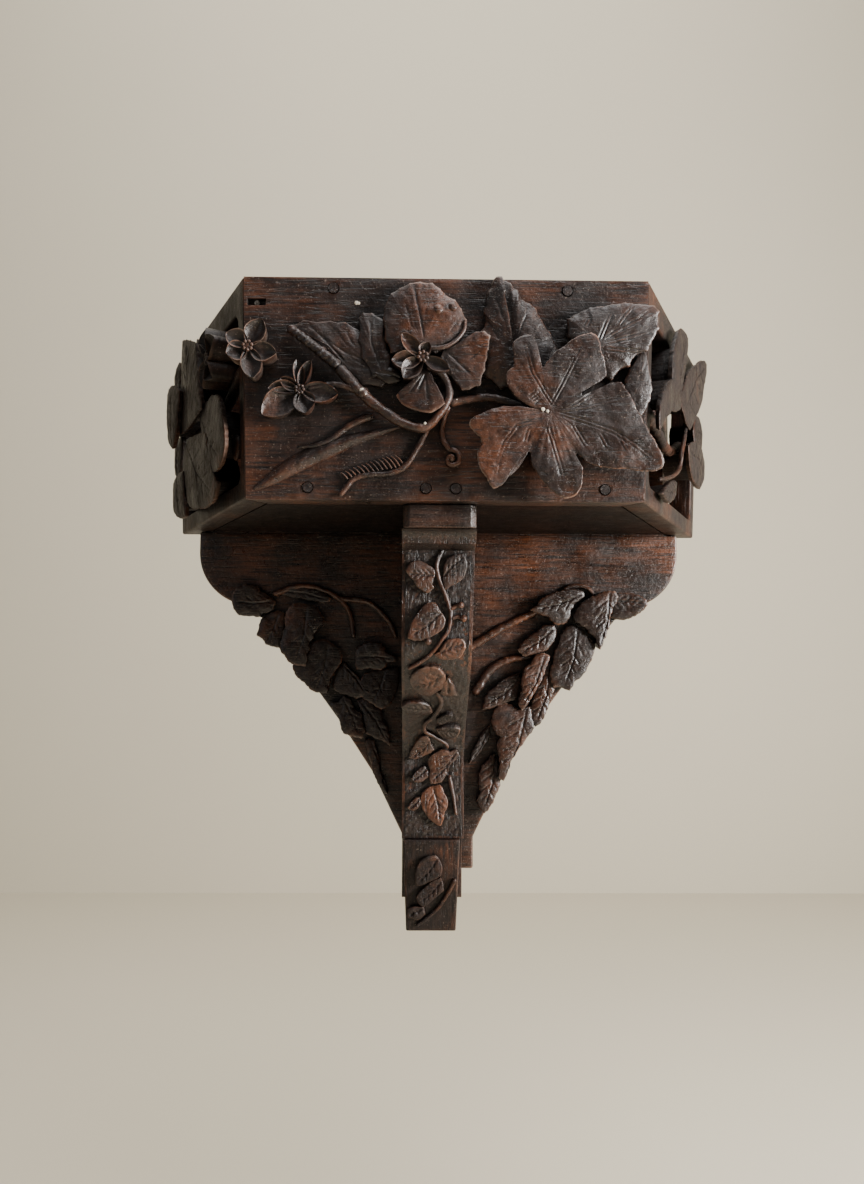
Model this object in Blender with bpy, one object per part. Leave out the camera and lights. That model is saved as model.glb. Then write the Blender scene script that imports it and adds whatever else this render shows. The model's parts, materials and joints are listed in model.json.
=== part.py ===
"""Carved wooden wall bracket: a half-hexagon shelf box on a leaf-carved backboard and a strut.

The origin is on the wall face of the backboard, level with the underside of the box.
+Z is up, -Y is out of the wall and +X is to the right of someone who faces the wall.
"""

import math

import bmesh
import bpy
from mathutils import Matrix, Vector

MM = 0.001

# Shelf box
SHELF_BACK_WIDTH = 300 * MM
SHELF_FRONT_WIDTH = 180 * MM
SHELF_DEPTH = 127 * MM
APRON_HEIGHT = 101 * MM
APRON_FLARE = 3.5 * MM
APRON_THICKNESS = 12.5 * MM
TOP_THICKNESS = 10 * MM
BOTTOM_THICKNESS = 11 * MM
JOINT_GAP = 0.3 * MM

# Open panel of each side apron
FRONT_STILE = 8 * MM
REAR_STILE = 11 * MM
BOTTOM_RAIL = 9 * MM
TOP_RAIL = 14 * MM

# Backboard, measured down from the underside of the box
BACKBOARD_THICKNESS = 16 * MM
BACKBOARD_WIDTH = 272 * MM
BACKBOARD_DROP = 188 * MM
STEM_WIDTH = 39 * MM
BAND_DROP = 42 * MM
BAND_END_RADIUS = 30 * MM

# Cap, strut and foot
STRUT_OFFSET = -2.3 * MM
CAP_WIDTH = 33.8 * MM
CAP_HEIGHT = 11 * MM
CAP_SETBACK = 8 * MM
CAP_CHAMFER = 2.6 * MM
STRUT_TOP_WIDTH = 35 * MM
STRUT_LOW_WIDTH = 32.3 * MM
STRUT_COVE = 6 * MM
STRUT_HEAD_SETBACK = 15 * MM
STRUT_HEAD_BATTER = 5 * MM
STRUT_WAIST_DEPTH = 49 * MM
STRUT_SHOULDER_DROP = 62 * MM
STRUT_WAIST_DROP = 124 * MM
STRUT_DROP = 165 * MM
TAIL_DEPTH = 30 * MM
TAIL_DROP = 200 * MM
FOOT_TOP_WIDTH = 29.6 * MM
FOOT_LOW_WIDTH = 26 * MM
FOOT_TOP_DEPTH = 52 * MM
FOOT_LOW_DEPTH = 46 * MM
FOOT_HEIGHT = 48 * MM

# Pegs and the pin
PEG_RADIUS = 2.3 * MM
PEG_LENGTH = 24 * MM
PEG_PROUD = 0.5 * MM
PIN_RADIUS = 1.2 * MM
PIN_LENGTH = 6.5 * MM
PIN_DROP = 11.5 * MM
PIN_INSET = 4 * MM
SLOT_LENGTH = 8.4 * MM
SLOT_HEIGHT = 3.2 * MM
SLOT_DEPTH = 3 * MM
PEG_SIDES = 12

# Carved forms reach this far below the face that they are carved from
CARVING_BED = 2.0
PANEL_BED = 9.0
WING_BED = 13.6
REACH = 600 * MM

# Plan of the box: the sides turn back from the front at this angle to the wall's normal
SIDE_ANGLE = math.atan((SHELF_BACK_WIDTH - SHELF_FRONT_WIDTH) / 2 / SHELF_DEPTH)
SIDE_LENGTH = SHELF_DEPTH / math.cos(SIDE_ANGLE)
MITRE_SHIFT = (1 - math.sin(SIDE_ANGLE)) / math.cos(SIDE_ANGLE)
LEFT, FRONT, RIGHT = -1, 0, 1

# The cap stands back from the box's front, and the strut's head stands back from the cap
CAP_DEPTH = SHELF_DEPTH - CAP_SETBACK
STRUT_HEAD_DEPTH = CAP_DEPTH - STRUT_HEAD_SETBACK
STRUT_SHOULDER_DEPTH = STRUT_HEAD_DEPTH - STRUT_HEAD_BATTER

# A carving is drawn in millimetres. Its board's width, height and thickness scale it across, up and out
FRONT_SCALE = (SHELF_FRONT_WIDTH / 180, APRON_HEIGHT / 101, APRON_THICKNESS / 12.5)
SIDE_SCALE = (SIDE_LENGTH / 140.5, APRON_HEIGHT / 101, APRON_THICKNESS / 12.5)
WING_SCALE = (BACKBOARD_WIDTH / 272, BACKBOARD_DROP / 188, BACKBOARD_THICKNESS / 16)
STRUT_SCALE = (STRUT_TOP_WIDTH / 35, STRUT_DROP / 165, STRUT_TOP_WIDTH / 35)
FOOT_SCALE = (FOOT_TOP_WIDTH / 29.6, FOOT_HEIGHT / 48, FOOT_TOP_WIDTH / 29.6)

# The strut's own middle line in the drawing of its vine
VINE_MIDDLE = -2.3


def make_material(name, color, roughness, metallic=0.0):
    material = bpy.data.materials.new(name)
    material.use_nodes = True
    shader = material.node_tree.nodes["Principled BSDF"]
    shader.inputs["Base Color"].default_value = (*color, 1.0)
    shader.inputs["Roughness"].default_value = roughness
    shader.inputs["Metallic"].default_value = metallic
    return material


def make_object(bm, name, material=None):
    """Turns a closed bmesh into an object. Without a material it only shapes others."""
    bmesh.ops.remove_doubles(bm, verts=bm.verts, dist=0.01 * MM)
    bmesh.ops.recalc_face_normals(bm, faces=bm.faces)
    mesh = bpy.data.meshes.new(name)
    bm.to_mesh(mesh)
    bm.free()
    piece = bpy.data.objects.new(name, mesh)
    if material:
        mesh.materials.append(material)
    else:
        piece.hide_render = True
        piece.display_type = "WIRE"
    return piece


def place(bm, name, material):
    piece = make_object(bm, name, material)
    bpy.context.scene.collection.objects.link(piece)
    return piece


def boolean(piece, operation, bm, name):
    """Cuts or joins a closed bmesh."""
    tool = place(bm, name, None)
    modifier = piece.modifiers.new(name, "BOOLEAN")
    modifier.operation = operation
    modifier.solver = "EXACT"
    modifier.object = tool


def carve(piece, forms):
    """Joins carved forms to the board that they are carved from."""
    group = bpy.data.collections.new(piece.name + "_carving")
    bpy.context.scene.collection.children.link(group)
    for index, bm in enumerate(forms):
        group.objects.link(make_object(bm, f"{piece.name}_form_{index + 1}"))
    modifier = piece.modifiers.new("carving", "BOOLEAN")
    modifier.operation = "UNION"
    modifier.solver = "EXACT"
    modifier.operand_type = "COLLECTION"
    modifier.collection = group


def new_verts(grown):
    return [element for element in grown["geom"] if isinstance(element, bmesh.types.BMVert)]


def prism(outline, low, high):
    """A solid over an outline in plan, between two levels."""
    bm = bmesh.new()
    floor = bm.faces.new([bm.verts.new((*point, low)) for point in outline])
    for vert in new_verts(bmesh.ops.extrude_face_region(bm, geom=[floor])):
        vert.co.z = high
    return bm


def slab(outline, front, back):
    """A solid over an outline of points across and up, between two places along Y."""
    bm = prism(outline, 0, 1)
    for vert in bm.verts:
        vert.co = (vert.co.x, front if vert.co.z < 0.5 else back, vert.co.y)
    return bm


def rod(across, front, level, radius, length):
    """A round bar that runs back from a place on the front."""
    bm = bmesh.new()
    turn = Matrix.Rotation(math.pi / 2, 4, "X")
    middle = Matrix.Translation((across, front + length / 2, level))
    bmesh.ops.create_cone(bm, cap_ends=True, segments=PEG_SIDES, radius1=radius, radius2=radius, depth=length,
                          matrix=middle @ turn)
    return bm


def arc(centre, radius, start, end, steps):
    """Points along an arc, from one angle in degrees to another."""
    angles = [math.radians(start + (end - start) * step / steps) for step in range(steps + 1)]
    return [(centre[0] + radius * math.cos(angle), centre[1] + radius * math.sin(angle)) for angle in angles]


class Face:
    """A face that a carving stands on. Its drawing and the carving's heights are in millimetres."""

    def __init__(self, origin, along, up, out, scale):
        self.origin, self.along, self.up, self.out, self.scale = origin, along, up, out, scale

    def point(self, across, up, height):
        return (self.origin + self.along * across * self.scale[0] + self.up * up * self.scale[1]
                + self.out * height * self.scale[2])


class StrutFace(Face):
    """The curved face of the strut, drawn from the underside of the box down."""

    def point(self, across, up, height):
        level = up * self.scale[1]
        depth = strut_depth(-level)
        out = Vector((0, -1, strut_depth(MM - level) / MM - depth / MM)).normalized()
        place = STRUT_OFFSET + (across - VINE_MIDDLE) * self.scale[0]
        return Vector((place, -depth, level)) + out * height * self.scale[2]


def strut_depth(drop):
    """How far the strut's face is from the wall, at a drop below the underside of the box."""
    share = drop / STRUT_SHOULDER_DROP
    if share <= 1:
        return STRUT_HEAD_DEPTH + (STRUT_SHOULDER_DEPTH - STRUT_HEAD_DEPTH) * max(share, 0)
    share = min(1.0, (drop - STRUT_SHOULDER_DROP) / (STRUT_WAIST_DROP - STRUT_SHOULDER_DROP))
    sweep = share * share * (3 - 2 * share)
    return STRUT_SHOULDER_DEPTH + (STRUT_WAIST_DEPTH - STRUT_SHOULDER_DEPTH) * sweep


def front_corner(offset, side):
    """A front corner of the box in plan, with its faces moved out by offset."""
    return Vector((side * (SHELF_FRONT_WIDTH / 2 + offset * MITRE_SHIFT), -(SHELF_DEPTH + offset)))


def side_point(offset, side, depth):
    """The point of a side face in plan, moved out by offset, at a depth from the wall."""
    half = SHELF_BACK_WIDTH / 2 + offset / math.cos(SIDE_ANGLE) - depth * math.tan(SIDE_ANGLE)
    return Vector((side * half, -depth))


def apron_face(side):
    """The outer face of an apron. A side's is drawn from its front arris to the wall."""
    if side == FRONT:
        out, along, origin = Vector((0, -1, 0)), Vector((1, 0, 0)), Vector((0, -SHELF_DEPTH, 0))
    else:
        out = Vector((side * math.cos(SIDE_ANGLE), -math.sin(SIDE_ANGLE), 0))
        along = Vector((side * math.sin(SIDE_ANGLE), math.cos(SIDE_ANGLE), 0))
        origin = front_corner(0, side).to_3d()
    up = Vector((0, 0, 1)) + out * APRON_FLARE / APRON_HEIGHT
    return Face(origin, along, up, out, FRONT_SCALE if side == FRONT else SIDE_SCALE)


def front_level(level):
    """The Y of the front apron's face at a level."""
    return -(SHELF_DEPTH + APRON_FLARE * level / APRON_HEIGHT)


def lay(bm, face, spot, heading, bed):
    """Closes a drawn sheet down to its bed and lays it on a face, turned to its heading."""
    raised = set(new_verts(bmesh.ops.extrude_face_region(bm, geom=list(bm.faces))))
    turn = Matrix.Rotation(math.radians(heading), 2)
    for vert in bm.verts:
        x, y = Vector(spot) + turn @ vert.co.xy
        vert.co = face.point(x, y, vert.co.z if vert in raised else -bed)
    return bm


def leaf(face, spot, heading, length, width, crown, edge, bed=CARVING_BED, rows=5, columns=2, point=0.8, lift=0.0,
         teeth=0.0):
    """A pointed leaf from its root at spot, with a raised midrib. teeth is how deep its edge is notched."""
    bm = bmesh.new()
    bmesh.ops.create_grid(bm, x_segments=rows, y_segments=columns, size=0.5)
    for vert in bm.verts:
        share, across = min(max(vert.co.x + 0.5, 0.0), 1.0), vert.co.y * 2
        breadth = abs(math.sin(math.pi * share ** point)) ** 0.8 * width / 2
        breadth *= 1 + teeth * math.cos(math.pi * share * rows) * (abs(across) > 0.9)
        ridge = max(1 - abs(across), 0.0) ** 0.7 * abs(math.sin(math.pi * share)) ** 0.5
        vert.co = (share * length, across * breadth, edge + (crown - edge) * ridge + lift * share)
    bmesh.ops.remove_doubles(bm, verts=bm.verts, dist=0.01)
    return lay(bm, face, spot, heading, bed)


def lobed_leaf(face, spot, rim, crown, edge, bed=CARVING_BED, tilt=(0.0, 0.0)):
    """A leaf of several lobes. Its rim is the heading and the reach of each tip and notch from its stalk."""
    bm = bmesh.new()
    bmesh.ops.create_circle(bm, segments=len(rim), radius=1.0)
    for vert, (heading, reach) in zip(bm.verts, rim):
        angle = math.radians(heading)
        vert.co = (reach * math.cos(angle), reach * math.sin(angle), edge)
    middle = bmesh.ops.extrude_edge_only(bm, edges=list(bm.edges))
    for vert in new_verts(middle):
        vert.co = (vert.co.x / 2, vert.co.y / 2, edge + (crown - edge) * 0.7)
    centre = bmesh.ops.extrude_edge_only(bm, edges=[e for e in middle["geom"] if isinstance(e, bmesh.types.BMEdge)])
    bmesh.ops.pointmerge(bm, verts=new_verts(centre), merge_co=(0, 0, crown))
    for vert in bm.verts:
        vert.co.z += tilt[0] * vert.co.x + tilt[1] * vert.co.y
    return lay(bm, face, spot, 0, bed)


def stem(face, points, radius, end_radius, height):
    """A round tapering stem along drawn points. height is that of its middle above the face."""
    knots = [Vector(point) for point in points]
    knots = [knots[0] * 2 - knots[1]] + knots + [knots[-1] * 2 - knots[-2]]
    route = []
    for a, b, c, d in zip(knots, knots[1:], knots[2:], knots[3:]):
        route += [b, (9 * (b + c) - a - d) / 16]
    route.append(knots[-2])
    curve = bpy.data.curves.new("stem", "CURVE")
    curve.dimensions = "3D"
    curve.bevel_depth = face.scale[2]
    curve.bevel_resolution = 1
    curve.use_fill_caps = True
    spline = curve.splines.new("POLY")
    spline.points.add(len(route) - 1)
    for index, (knot, spot) in enumerate(zip(spline.points, route)):
        knot.co = (*face.point(spot.x, spot.y, height), 1)
        knot.radius = radius + (end_radius - radius) * index / (len(route) - 1)
    guide = bpy.data.objects.new("stem", curve)
    bm = bmesh.new()
    bm.from_mesh(bpy.data.meshes.new_from_object(guide))
    bpy.data.objects.remove(guide)
    return bm


def berry(face, spot, radius, height):
    bm = bmesh.new()
    bmesh.ops.create_icosphere(bm, subdivisions=1, radius=radius * face.scale[2])
    bmesh.ops.translate(bm, verts=bm.verts, vec=face.point(*spot, height))
    return bm


def blossom(face, spot, reach, height, turn, cup=3.0, petals=5, breadth=0.62, bed=CARVING_BED):
    """Petals round a bead. cup is how much higher the petals' tips stand than their roots."""
    forms = [berry(face, spot, reach * 0.24, height + 1.5)]
    for index in range(petals):
        heading = turn + 360 * index / petals
        angle = math.radians(heading)
        root = (spot[0] - 0.12 * reach * math.cos(angle), spot[1] - 0.12 * reach * math.sin(angle))
        forms.append(leaf(face, root, heading, reach * 1.12, reach * breadth, height + 1, height, bed=bed, rows=3,
                          point=1.4, lift=cup))
    return forms


def mitre_half(side, keep_front):
    """All that lies past a mitre plane, on the side's half of the world or on the front's."""
    ridge = Vector((side * MITRE_SHIFT, -1)).normalized()
    past = Vector((side, MITRE_SHIFT)).normalized() * (1 if keep_front else -1)
    start = front_corner(0, side) - past * JOINT_GAP / 2
    near, far = start - ridge * REACH, start + ridge * REACH
    return prism([near, far, far + past * REACH, near + past * REACH], -REACH, REACH)


def apron_blank(side):
    """An apron before it is carved, leaning out by its flare at the top."""
    inner = -APRON_THICKNESS
    bm = bmesh.new()
    bmesh.ops.create_cube(bm, size=2.0)
    for vert in bm.verts:
        offset = (inner if vert.co.y > 0 else 0) + (APRON_FLARE if vert.co.z > 0 else 0)
        if side == FRONT:
            spot = front_corner(offset + JOINT_GAP, LEFT if vert.co.x < 0 else RIGHT)
            spot.y = -(SHELF_DEPTH + offset)
        else:
            spot = front_corner(offset, side) if vert.co.x < 0 else side_point(offset, side, 0)
        vert.co = (*spot, APRON_HEIGHT if vert.co.z > 0 else 0)
    return bm


def side_window(side):
    """The opening that a side's leaves stand in."""
    face = apron_face(side)
    bm = bmesh.new()
    bmesh.ops.create_cube(bm, size=2.0)
    for vert in bm.verts:
        along = FRONT_STILE if vert.co.x < 0 else SIDE_LENGTH - REAR_STILE
        level = BOTTOM_RAIL if vert.co.z < 0 else APRON_HEIGHT - TOP_RAIL
        depth = APRON_THICKNESS * (-2 if vert.co.y > 0 else 1)
        vert.co = face.origin + face.along * along + face.up * level + face.out * depth
    edges = [edge for edge in bm.edges if abs((edge.verts[0].co - edge.verts[1].co).dot(face.out)) > APRON_THICKNESS]
    bmesh.ops.bevel(bm, geom=edges, offset=5 * MM, segments=2, profile=0.5, affect="EDGES")
    return bm


VINE_LEAF = ((22, 31), (41, 14), (50, 32), (66, 41), (82, 32), (104, 21), (107, 37), (119, 38), (142, 28), (163, 9),
             (173, 31), (183, 38), (205, 39), (227, 42), (236, 20), (262, 31), (277, 36), (290, 32), (297, 17),
             (316, 33), (336, 51), (353, 40))
REAR_LEAF = ((30, 31), (60, 20), (104, 16.5), (142, 18), (180, 11), (225, 12), (290, 16.5), (323, 17), (350, 18.5),
             (8, 25))
ROUND_LEAF = ((28, 21), (51, 23), (65, 21), (82, 26), (104, 27), (127, 26), (153, 21), (176, 17), (202, 12),
              (270, 6), (326, 8), (356, 13))
FLAG_LEAF = ((25, 23), (32, 14), (60, 7), (150, 3), (250, 4), (300, 14), (324, 20), (341, 19), (10, 20.5))
SKIRT_LEAF = ((60, 3), (180, 4), (216, 9), (222, 18), (248, 18.5), (273, 19.5), (298, 18), (306, 11))


def front_carving():
    """The vine of the front apron with its leaves and blossoms."""
    face = apron_face(FRONT)
    forms = [
        lobed_leaf(face, (68, 70.3), REAR_LEAF, 7.5, 5.5),
        leaf(face, (84, 37), 80, 31, 12, 7.5, 6.0),
        leaf(face, (33, 57), 105, 44, 27, 7, 3.5, columns=4, point=0.7),
        leaf(face, (36, 60), 48, 27, 17, 5, 3.0),
        lobed_leaf(face, (-9.8, 70.8), ROUND_LEAF, 8, 5),
        lobed_leaf(face, (-1.7, 62.6), FLAG_LEAF, 7, 6.2, tilt=(0.06, 0.0)),
        lobed_leaf(face, (-9.3, 57.5), SKIRT_LEAF, 7, 6.4, tilt=(0.0, -0.06)),
        leaf(face, (-31, 63), 152, 45, 25, 3.2, 2.0),
        leaf(face, (-26, 56), 95, 27, 15, 3.6, 2.2),
        leaf(face, (-84, 5.5), 23.5, 69, 9, 4.5, 1.2, point=0.62),
        leaf(face, (-4, 19.5), 0, 13, 11, 6.5, 3.0, rows=4, point=1.0),
        lobed_leaf(face, (48, 34.8), VINE_LEAF, 15, 12.5),
        stem(face, [(-71, 77), (-59, 67.5), (-48, 58), (-37.5, 46.5), (-27.4, 38.5), (-18, 32.3), (-10, 32), (0, 43.5),
                    (0.5, 51), (-9.4, 59)], 2.3, 1.7, 6),
        stem(face, [(-37.5, 46.5), (-50, 49.5), (-62, 48.5)], 1.7, 1.2, 5.5),
        stem(face, [(-34, 38), (-43.7, 33), (-51.5, 27.3), (-67, 23.5)], 1.6, 1.0, 1.2),
        stem(face, [(-8.4, 32.5), (-18, 15), (-25.2, 11.5), (-35.8, 10.5), (-41.5, 9), (-47.6, 1.5)], 1.6, 1.2, 0.8),
        stem(face, [(1, 41), (-2, 32), (1.5, 22.5)], 1.4, 1.2, 0.7),
        stem(face, [(2, 43.5), (20, 46.5), (43, 39)], 1.8, 1.6, 3.4),
        berry(face, (0, 84), 3.2, 7.4),
        berry(face, (4.5, 80), 2.6, 7.0),
    ]
    forms += blossom(face, (-11, 63.5), 13, 8.5, turn=35)
    forms += blossom(face, (-85, 66), 11, 8.5, turn=20)
    forms += blossom(face, (-66.5, 47.5), 14, 5.5, turn=-10)
    return forms


def side_carving(side):
    """The leaves of a side apron, which stand in its opening and out beyond its face."""
    face = apron_face(side)

    def blade(spot, heading, length, width, crown, lift=0.0, teeth=0.0, point=0.8, rows=5):
        return leaf(face, spot, heading, length, width, crown, crown - 3, PANEL_BED, rows, 2, point, lift, teeth)

    if side == RIGHT:
        return [
            blade((20, 19), 82, 77, 31, 10, lift=3, teeth=0.1, rows=7),
            blade((66, 38), 56, 66, 36, 13, lift=3, teeth=0.1, rows=7),
            blade((62, 30), 4, 40, 25, 14, lift=2, point=0.7),
            blade((36, 26), -75, 21, 12, 6, rows=4),
            blade((98, 54), 12, 36, 24, 9),
            blade((112, 44), -70, 39, 22, 9.4),
            blade((52, 62), 112, 35, 20, 8),
            blade((64, 34), -108, 30, 22, 8.3),
            stem(face, [(6, 44), (34, 40), (66, 37), (96, 46), (132, 50)], 2.6, 2.2, -2),
        ]
    return [
        blade((52, 46), -86, 43, 40, 14, lift=1, teeth=0.1, rows=7),
        blade((22, 56), -84, 50, 28, 9, teeth=0.1, rows=7),
        blade((98, 45), 72, 40, 24, 14.5, teeth=0.1),
        blade((70, 43), 80, 56, 26, 11, lift=2, rows=6),
        blade((46, 50), 66, 50, 20, 8.5),
        blade((10, 74), 56, 27, 15, 6.5),
        blade((128, 36), -128, 38, 25, 11, point=0.7),
        blade((86, 42), -80, 38, 24, 9),
        blade((106, 48), 24, 30, 18, 8),
        berry(face, (7.5, 20), 3.3, 2.5),
        stem(face, [(6, 62), (34, 52), (60, 47), (88, 45), (132, 50)], 2.6, 2.2, -2),
    ] + blossom(face, (26, 70), 15, 8.0, turn=18, cup=4, bed=PANEL_BED)


# Leaves of the backboard's wings: root, heading, length, width and crown
RIGHT_WING = (
    ((80, -33), 200, 34, 21, 6.5), ((86, -35), -81, 33, 21, 7.5), ((95, -30), -85, 21, 14, 5.5),
    ((97, -38), -6, 26, 18, 4.0), ((68, -52), 215, 30, 17, 5.0), ((82, -50), -104, 42, 28, 6.0),
    ((58, -67), -111, 38, 16, 8.0), ((56, -88), -89, 23, 15, 4.5), ((46, -88), -101, 54, 28, 7.0),
    ((34, -120), -101, 40, 21, 5.6), ((46, -87), 205, 26, 15, 5.2),
)
LEFT_WING = (
    ((-93, -37), 190, 26, 24, 4.5), ((-91, -43), -118, 27, 22, 5.5), ((-78, -37), -99, 41, 29, 7.5),
    ((-61, -54), -107, 42, 29, 6.5), ((-49, -74), -112, 27, 22, 5.0), ((-57, -89), -60, 32, 21, 5.6),
    ((-46, -90), -56, 35, 20, 4.6), ((-46, -51), -58, 30, 22, 5.2), ((-33, -75), -90, 30, 20, 4.4),
    ((-38, -110), -77, 42, 16, 4.7), ((-68, -45), -52, 32, 22, 4.1),
)


def wing_carving():
    """The leaves and stems along both slanted edges of the backboard."""
    face = Face(Vector((0, -BACKBOARD_THICKNESS, 0)), Vector((1, 0, 0)), Vector((0, 0, 1)), Vector((0, -1, 0)),
                WING_SCALE)
    forms = [leaf(face, spot, heading, length, width, crown, crown - 2.5, WING_BED, rows=4, point=0.75)
             for spot, heading, length, width, crown in RIGHT_WING + LEFT_WING]
    return forms + [
        stem(face, [(19, -64), (36, -54), (56, -44)], 2.6, 2.0, 0.6),
        stem(face, [(22, -88), (30, -77), (41, -71.5), (54, -70)], 2.8, 2.0, 0.7),
        stem(face, [(70, -33), (76, -30), (84, -31), (89, -37)], 1.5, 1.2, 1.3),
        stem(face, [(-94, -36), (-78, -31), (-61, -35), (-51, -45), (-48, -60)], 1.8, 1.4, 1.4),
        stem(face, [(-57, -38), (-40, -40), (-29, -50), (-24, -60)], 1.8, 1.4, 1.0),
    ]


# Leaves of the strut and of the foot: root, heading, length, width and crown
STRUT_LEAVES = (
    ((-10.5, -25), -92, 16, 18, 2.6), ((0.5, -36), 52, 19, 13, 2.4), ((0, -43), 226, 25, 17, 2.8),
    ((-5, -70), 23, 19, 12, 2.4), ((-6.5, -72), -90, 16, 20, 3.0), ((-1, -77), -52, 15, 10, 2.2),
    ((-4.5, -95), 168, 14, 10, 2.2), ((-2, -107), -10, 14, 9, 2.3), ((-4, -110), 230, 18, 12, 2.5),
    ((10, -116), 235, 26, 17, 3.0), ((-5.5, -131), 205, 11, 8, 2.0), ((-6.5, -135), -74, 26, 17, 3.2),
    ((-7, -144), 230, 14, 10, 1.8),
)
STRUT_STEMS = (
    ((1, -20), (0.6, -32), (2.6, -48), (1.8, -60), (-6, -69), (-15.5, -74)),
    ((-3, -84), (-0.7, -94), (-8, -106), (3.5, -116.5)),
    ((4.8, -131), (7, -141), (8.6, -151)),
)
BERRIES = ((8.8, -45.6), (10.2, -51.7), (-7.7, -62.7))
FOOT_LEAVES = (((1.7, -8), 240, 17, 10, 2.4), ((5.8, -20), 238, 18, 10, 2.6))


def strut_carving():
    """The vine down the strut's face."""
    face = StrutFace(None, None, None, Vector((0, -1, 0)), STRUT_SCALE)
    forms = [leaf(face, spot, heading, length, width, crown, crown - 1.2, rows=4, point=0.8)
             for spot, heading, length, width, crown in STRUT_LEAVES]
    forms += [stem(face, route, 1.4, 1.0, 0.6) for route in STRUT_STEMS]
    return forms + [berry(face, spot, 2.0, 1.4) for spot in BERRIES]


def foot_carving(face):
    """The sprig on the foot block."""
    forms = [leaf(face, spot, heading, length, width, crown, crown - 1.2, rows=4, point=0.8)
             for spot, heading, length, width, crown in FOOT_LEAVES]
    route = [(13.5, -22), (8.5, -31), (5.2, -36), (1, -39.6), (-4, -43), (-8, -46)]
    return forms + [stem(face, route, 1.3, 0.9, 0.5), berry(face, (-8.6, -39), 2.4, 0.2)]


def make_aprons(wood):
    aprons = {}
    for side, name in ((FRONT, "front_apron"), (LEFT, "left_apron"), (RIGHT, "right_apron")):
        apron = place(apron_blank(side), name, wood)
        if side != FRONT:
            boolean(apron, "DIFFERENCE", side_window(side), name + "_window")
        carve(apron, front_carving() if side == FRONT else side_carving(side))
        for end in (LEFT, RIGHT) if side == FRONT else (side,):
            boolean(apron, "DIFFERENCE", mitre_half(end, side == FRONT), f"{name}_mitre_{end + 1}")
        aprons[side] = apron
    return aprons


def make_shelf_boards(wood):
    """The top and the bottom of the box, let in between the aprons."""
    inset = APRON_THICKNESS + JOINT_GAP
    low = -inset
    high = APRON_FLARE * (1 - TOP_THICKNESS / APRON_HEIGHT) - inset
    seat = BACKBOARD_THICKNESS + JOINT_GAP
    bottom = [front_corner(low, LEFT), front_corner(low, RIGHT), side_point(low, RIGHT, seat),
              side_point(low, LEFT, seat)]
    top = [front_corner(high, LEFT), front_corner(high, RIGHT), side_point(high, RIGHT, 0),
           side_point(high, LEFT, 0)]
    return {"bottom": place(prism(bottom, 0, BOTTOM_THICKNESS), "shelf_bottom", wood),
            "top": place(prism(top, APRON_HEIGHT - TOP_THICKNESS, APRON_HEIGHT), "shelf_top", wood)}


def make_backboard(wood):
    """One board: a neck between the side aprons, a band under the shelf and two wings down to a stem."""
    half, stem_half = BACKBOARD_WIDTH / 2, STEM_WIDTH / 2
    centre = (half - BAND_END_RADIUS, -BAND_DROP + BAND_END_RADIUS)
    run = Vector((half - BAND_END_RADIUS - stem_half, BACKBOARD_DROP - BAND_DROP))
    right = arc(centre, BAND_END_RADIUS, 0, -90, 6)
    right += [(stem_half + run.x * (1 - share) ** 1.25, -BAND_DROP - run.y * share * 0.88)
              for share in (0.12, 0.3, 0.5, 0.72, 1.0)]
    right += [(stem_half, -BACKBOARD_DROP)]
    outline = [(half, -JOINT_GAP)] + right + [(-x, y) for x, y in reversed(right)] + [(-half, -JOINT_GAP)]
    board = place(slab(outline, -BACKBOARD_THICKNESS, 0), "backboard", wood)
    inset = APRON_THICKNESS + JOINT_GAP
    front, back = (side_point(-inset, RIGHT, depth).x for depth in (BACKBOARD_THICKNESS, 0))
    neck = prism([(-front, -BACKBOARD_THICKNESS), (front, -BACKBOARD_THICKNESS), (back, 0), (-back, 0)],
                 -BAND_DROP / 2, APRON_HEIGHT - TOP_THICKNESS - JOINT_GAP)
    boolean(board, "UNION", neck, "backboard_neck")
    carve(board, wing_carving())
    return board


def make_cap(wood):
    """The block under the shelf, with its two front corners chamfered."""
    front, back = -CAP_DEPTH, -(BACKBOARD_THICKNESS + JOINT_GAP)
    half = CAP_WIDTH / 2
    shoulder, nose = front + CAP_CHAMFER, half - CAP_CHAMFER
    outline = [(-half, back), (-half, shoulder), (-nose, front), (nose, front), (half, shoulder), (half, back)]
    outline = [(x + STRUT_OFFSET, y) for x, y in outline]
    return place(prism(outline, -CAP_HEIGHT, -JOINT_GAP), "strut_cap", wood)


def make_strut(wood):
    """The brace: a cove under its cap, a face that curves in to its waist, and a tail behind the foot."""
    back, top = BACKBOARD_THICKNESS + JOINT_GAP, CAP_HEIGHT + JOINT_GAP
    cove = arc((CAP_DEPTH - CAP_CHAMFER, top + STRUT_COVE), STRUT_COVE, -90, -180, 3)
    face = [(strut_depth(drop), drop) for drop in
            [top + STRUT_COVE + (STRUT_DROP - top - STRUT_COVE) * step / 22 for step in range(1, 23)]]
    outline = [(back, top)] + cove + face + [(TAIL_DEPTH, STRUT_DROP), (TAIL_DEPTH, TAIL_DROP), (back, TAIL_DROP)]
    bm = prism(outline, 0, 1)
    left = STRUT_OFFSET - STRUT_TOP_WIDTH / 2
    for vert in bm.verts:
        depth, drop = vert.co.xy
        width = STRUT_TOP_WIDTH + (STRUT_LOW_WIDTH - STRUT_TOP_WIDTH) * min(drop / STRUT_WAIST_DROP, 1)
        vert.co = (left + width * vert.co.z, -depth, -drop)
    strut = place(bm, "strut", wood)
    carve(strut, strut_carving())
    return strut


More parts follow.
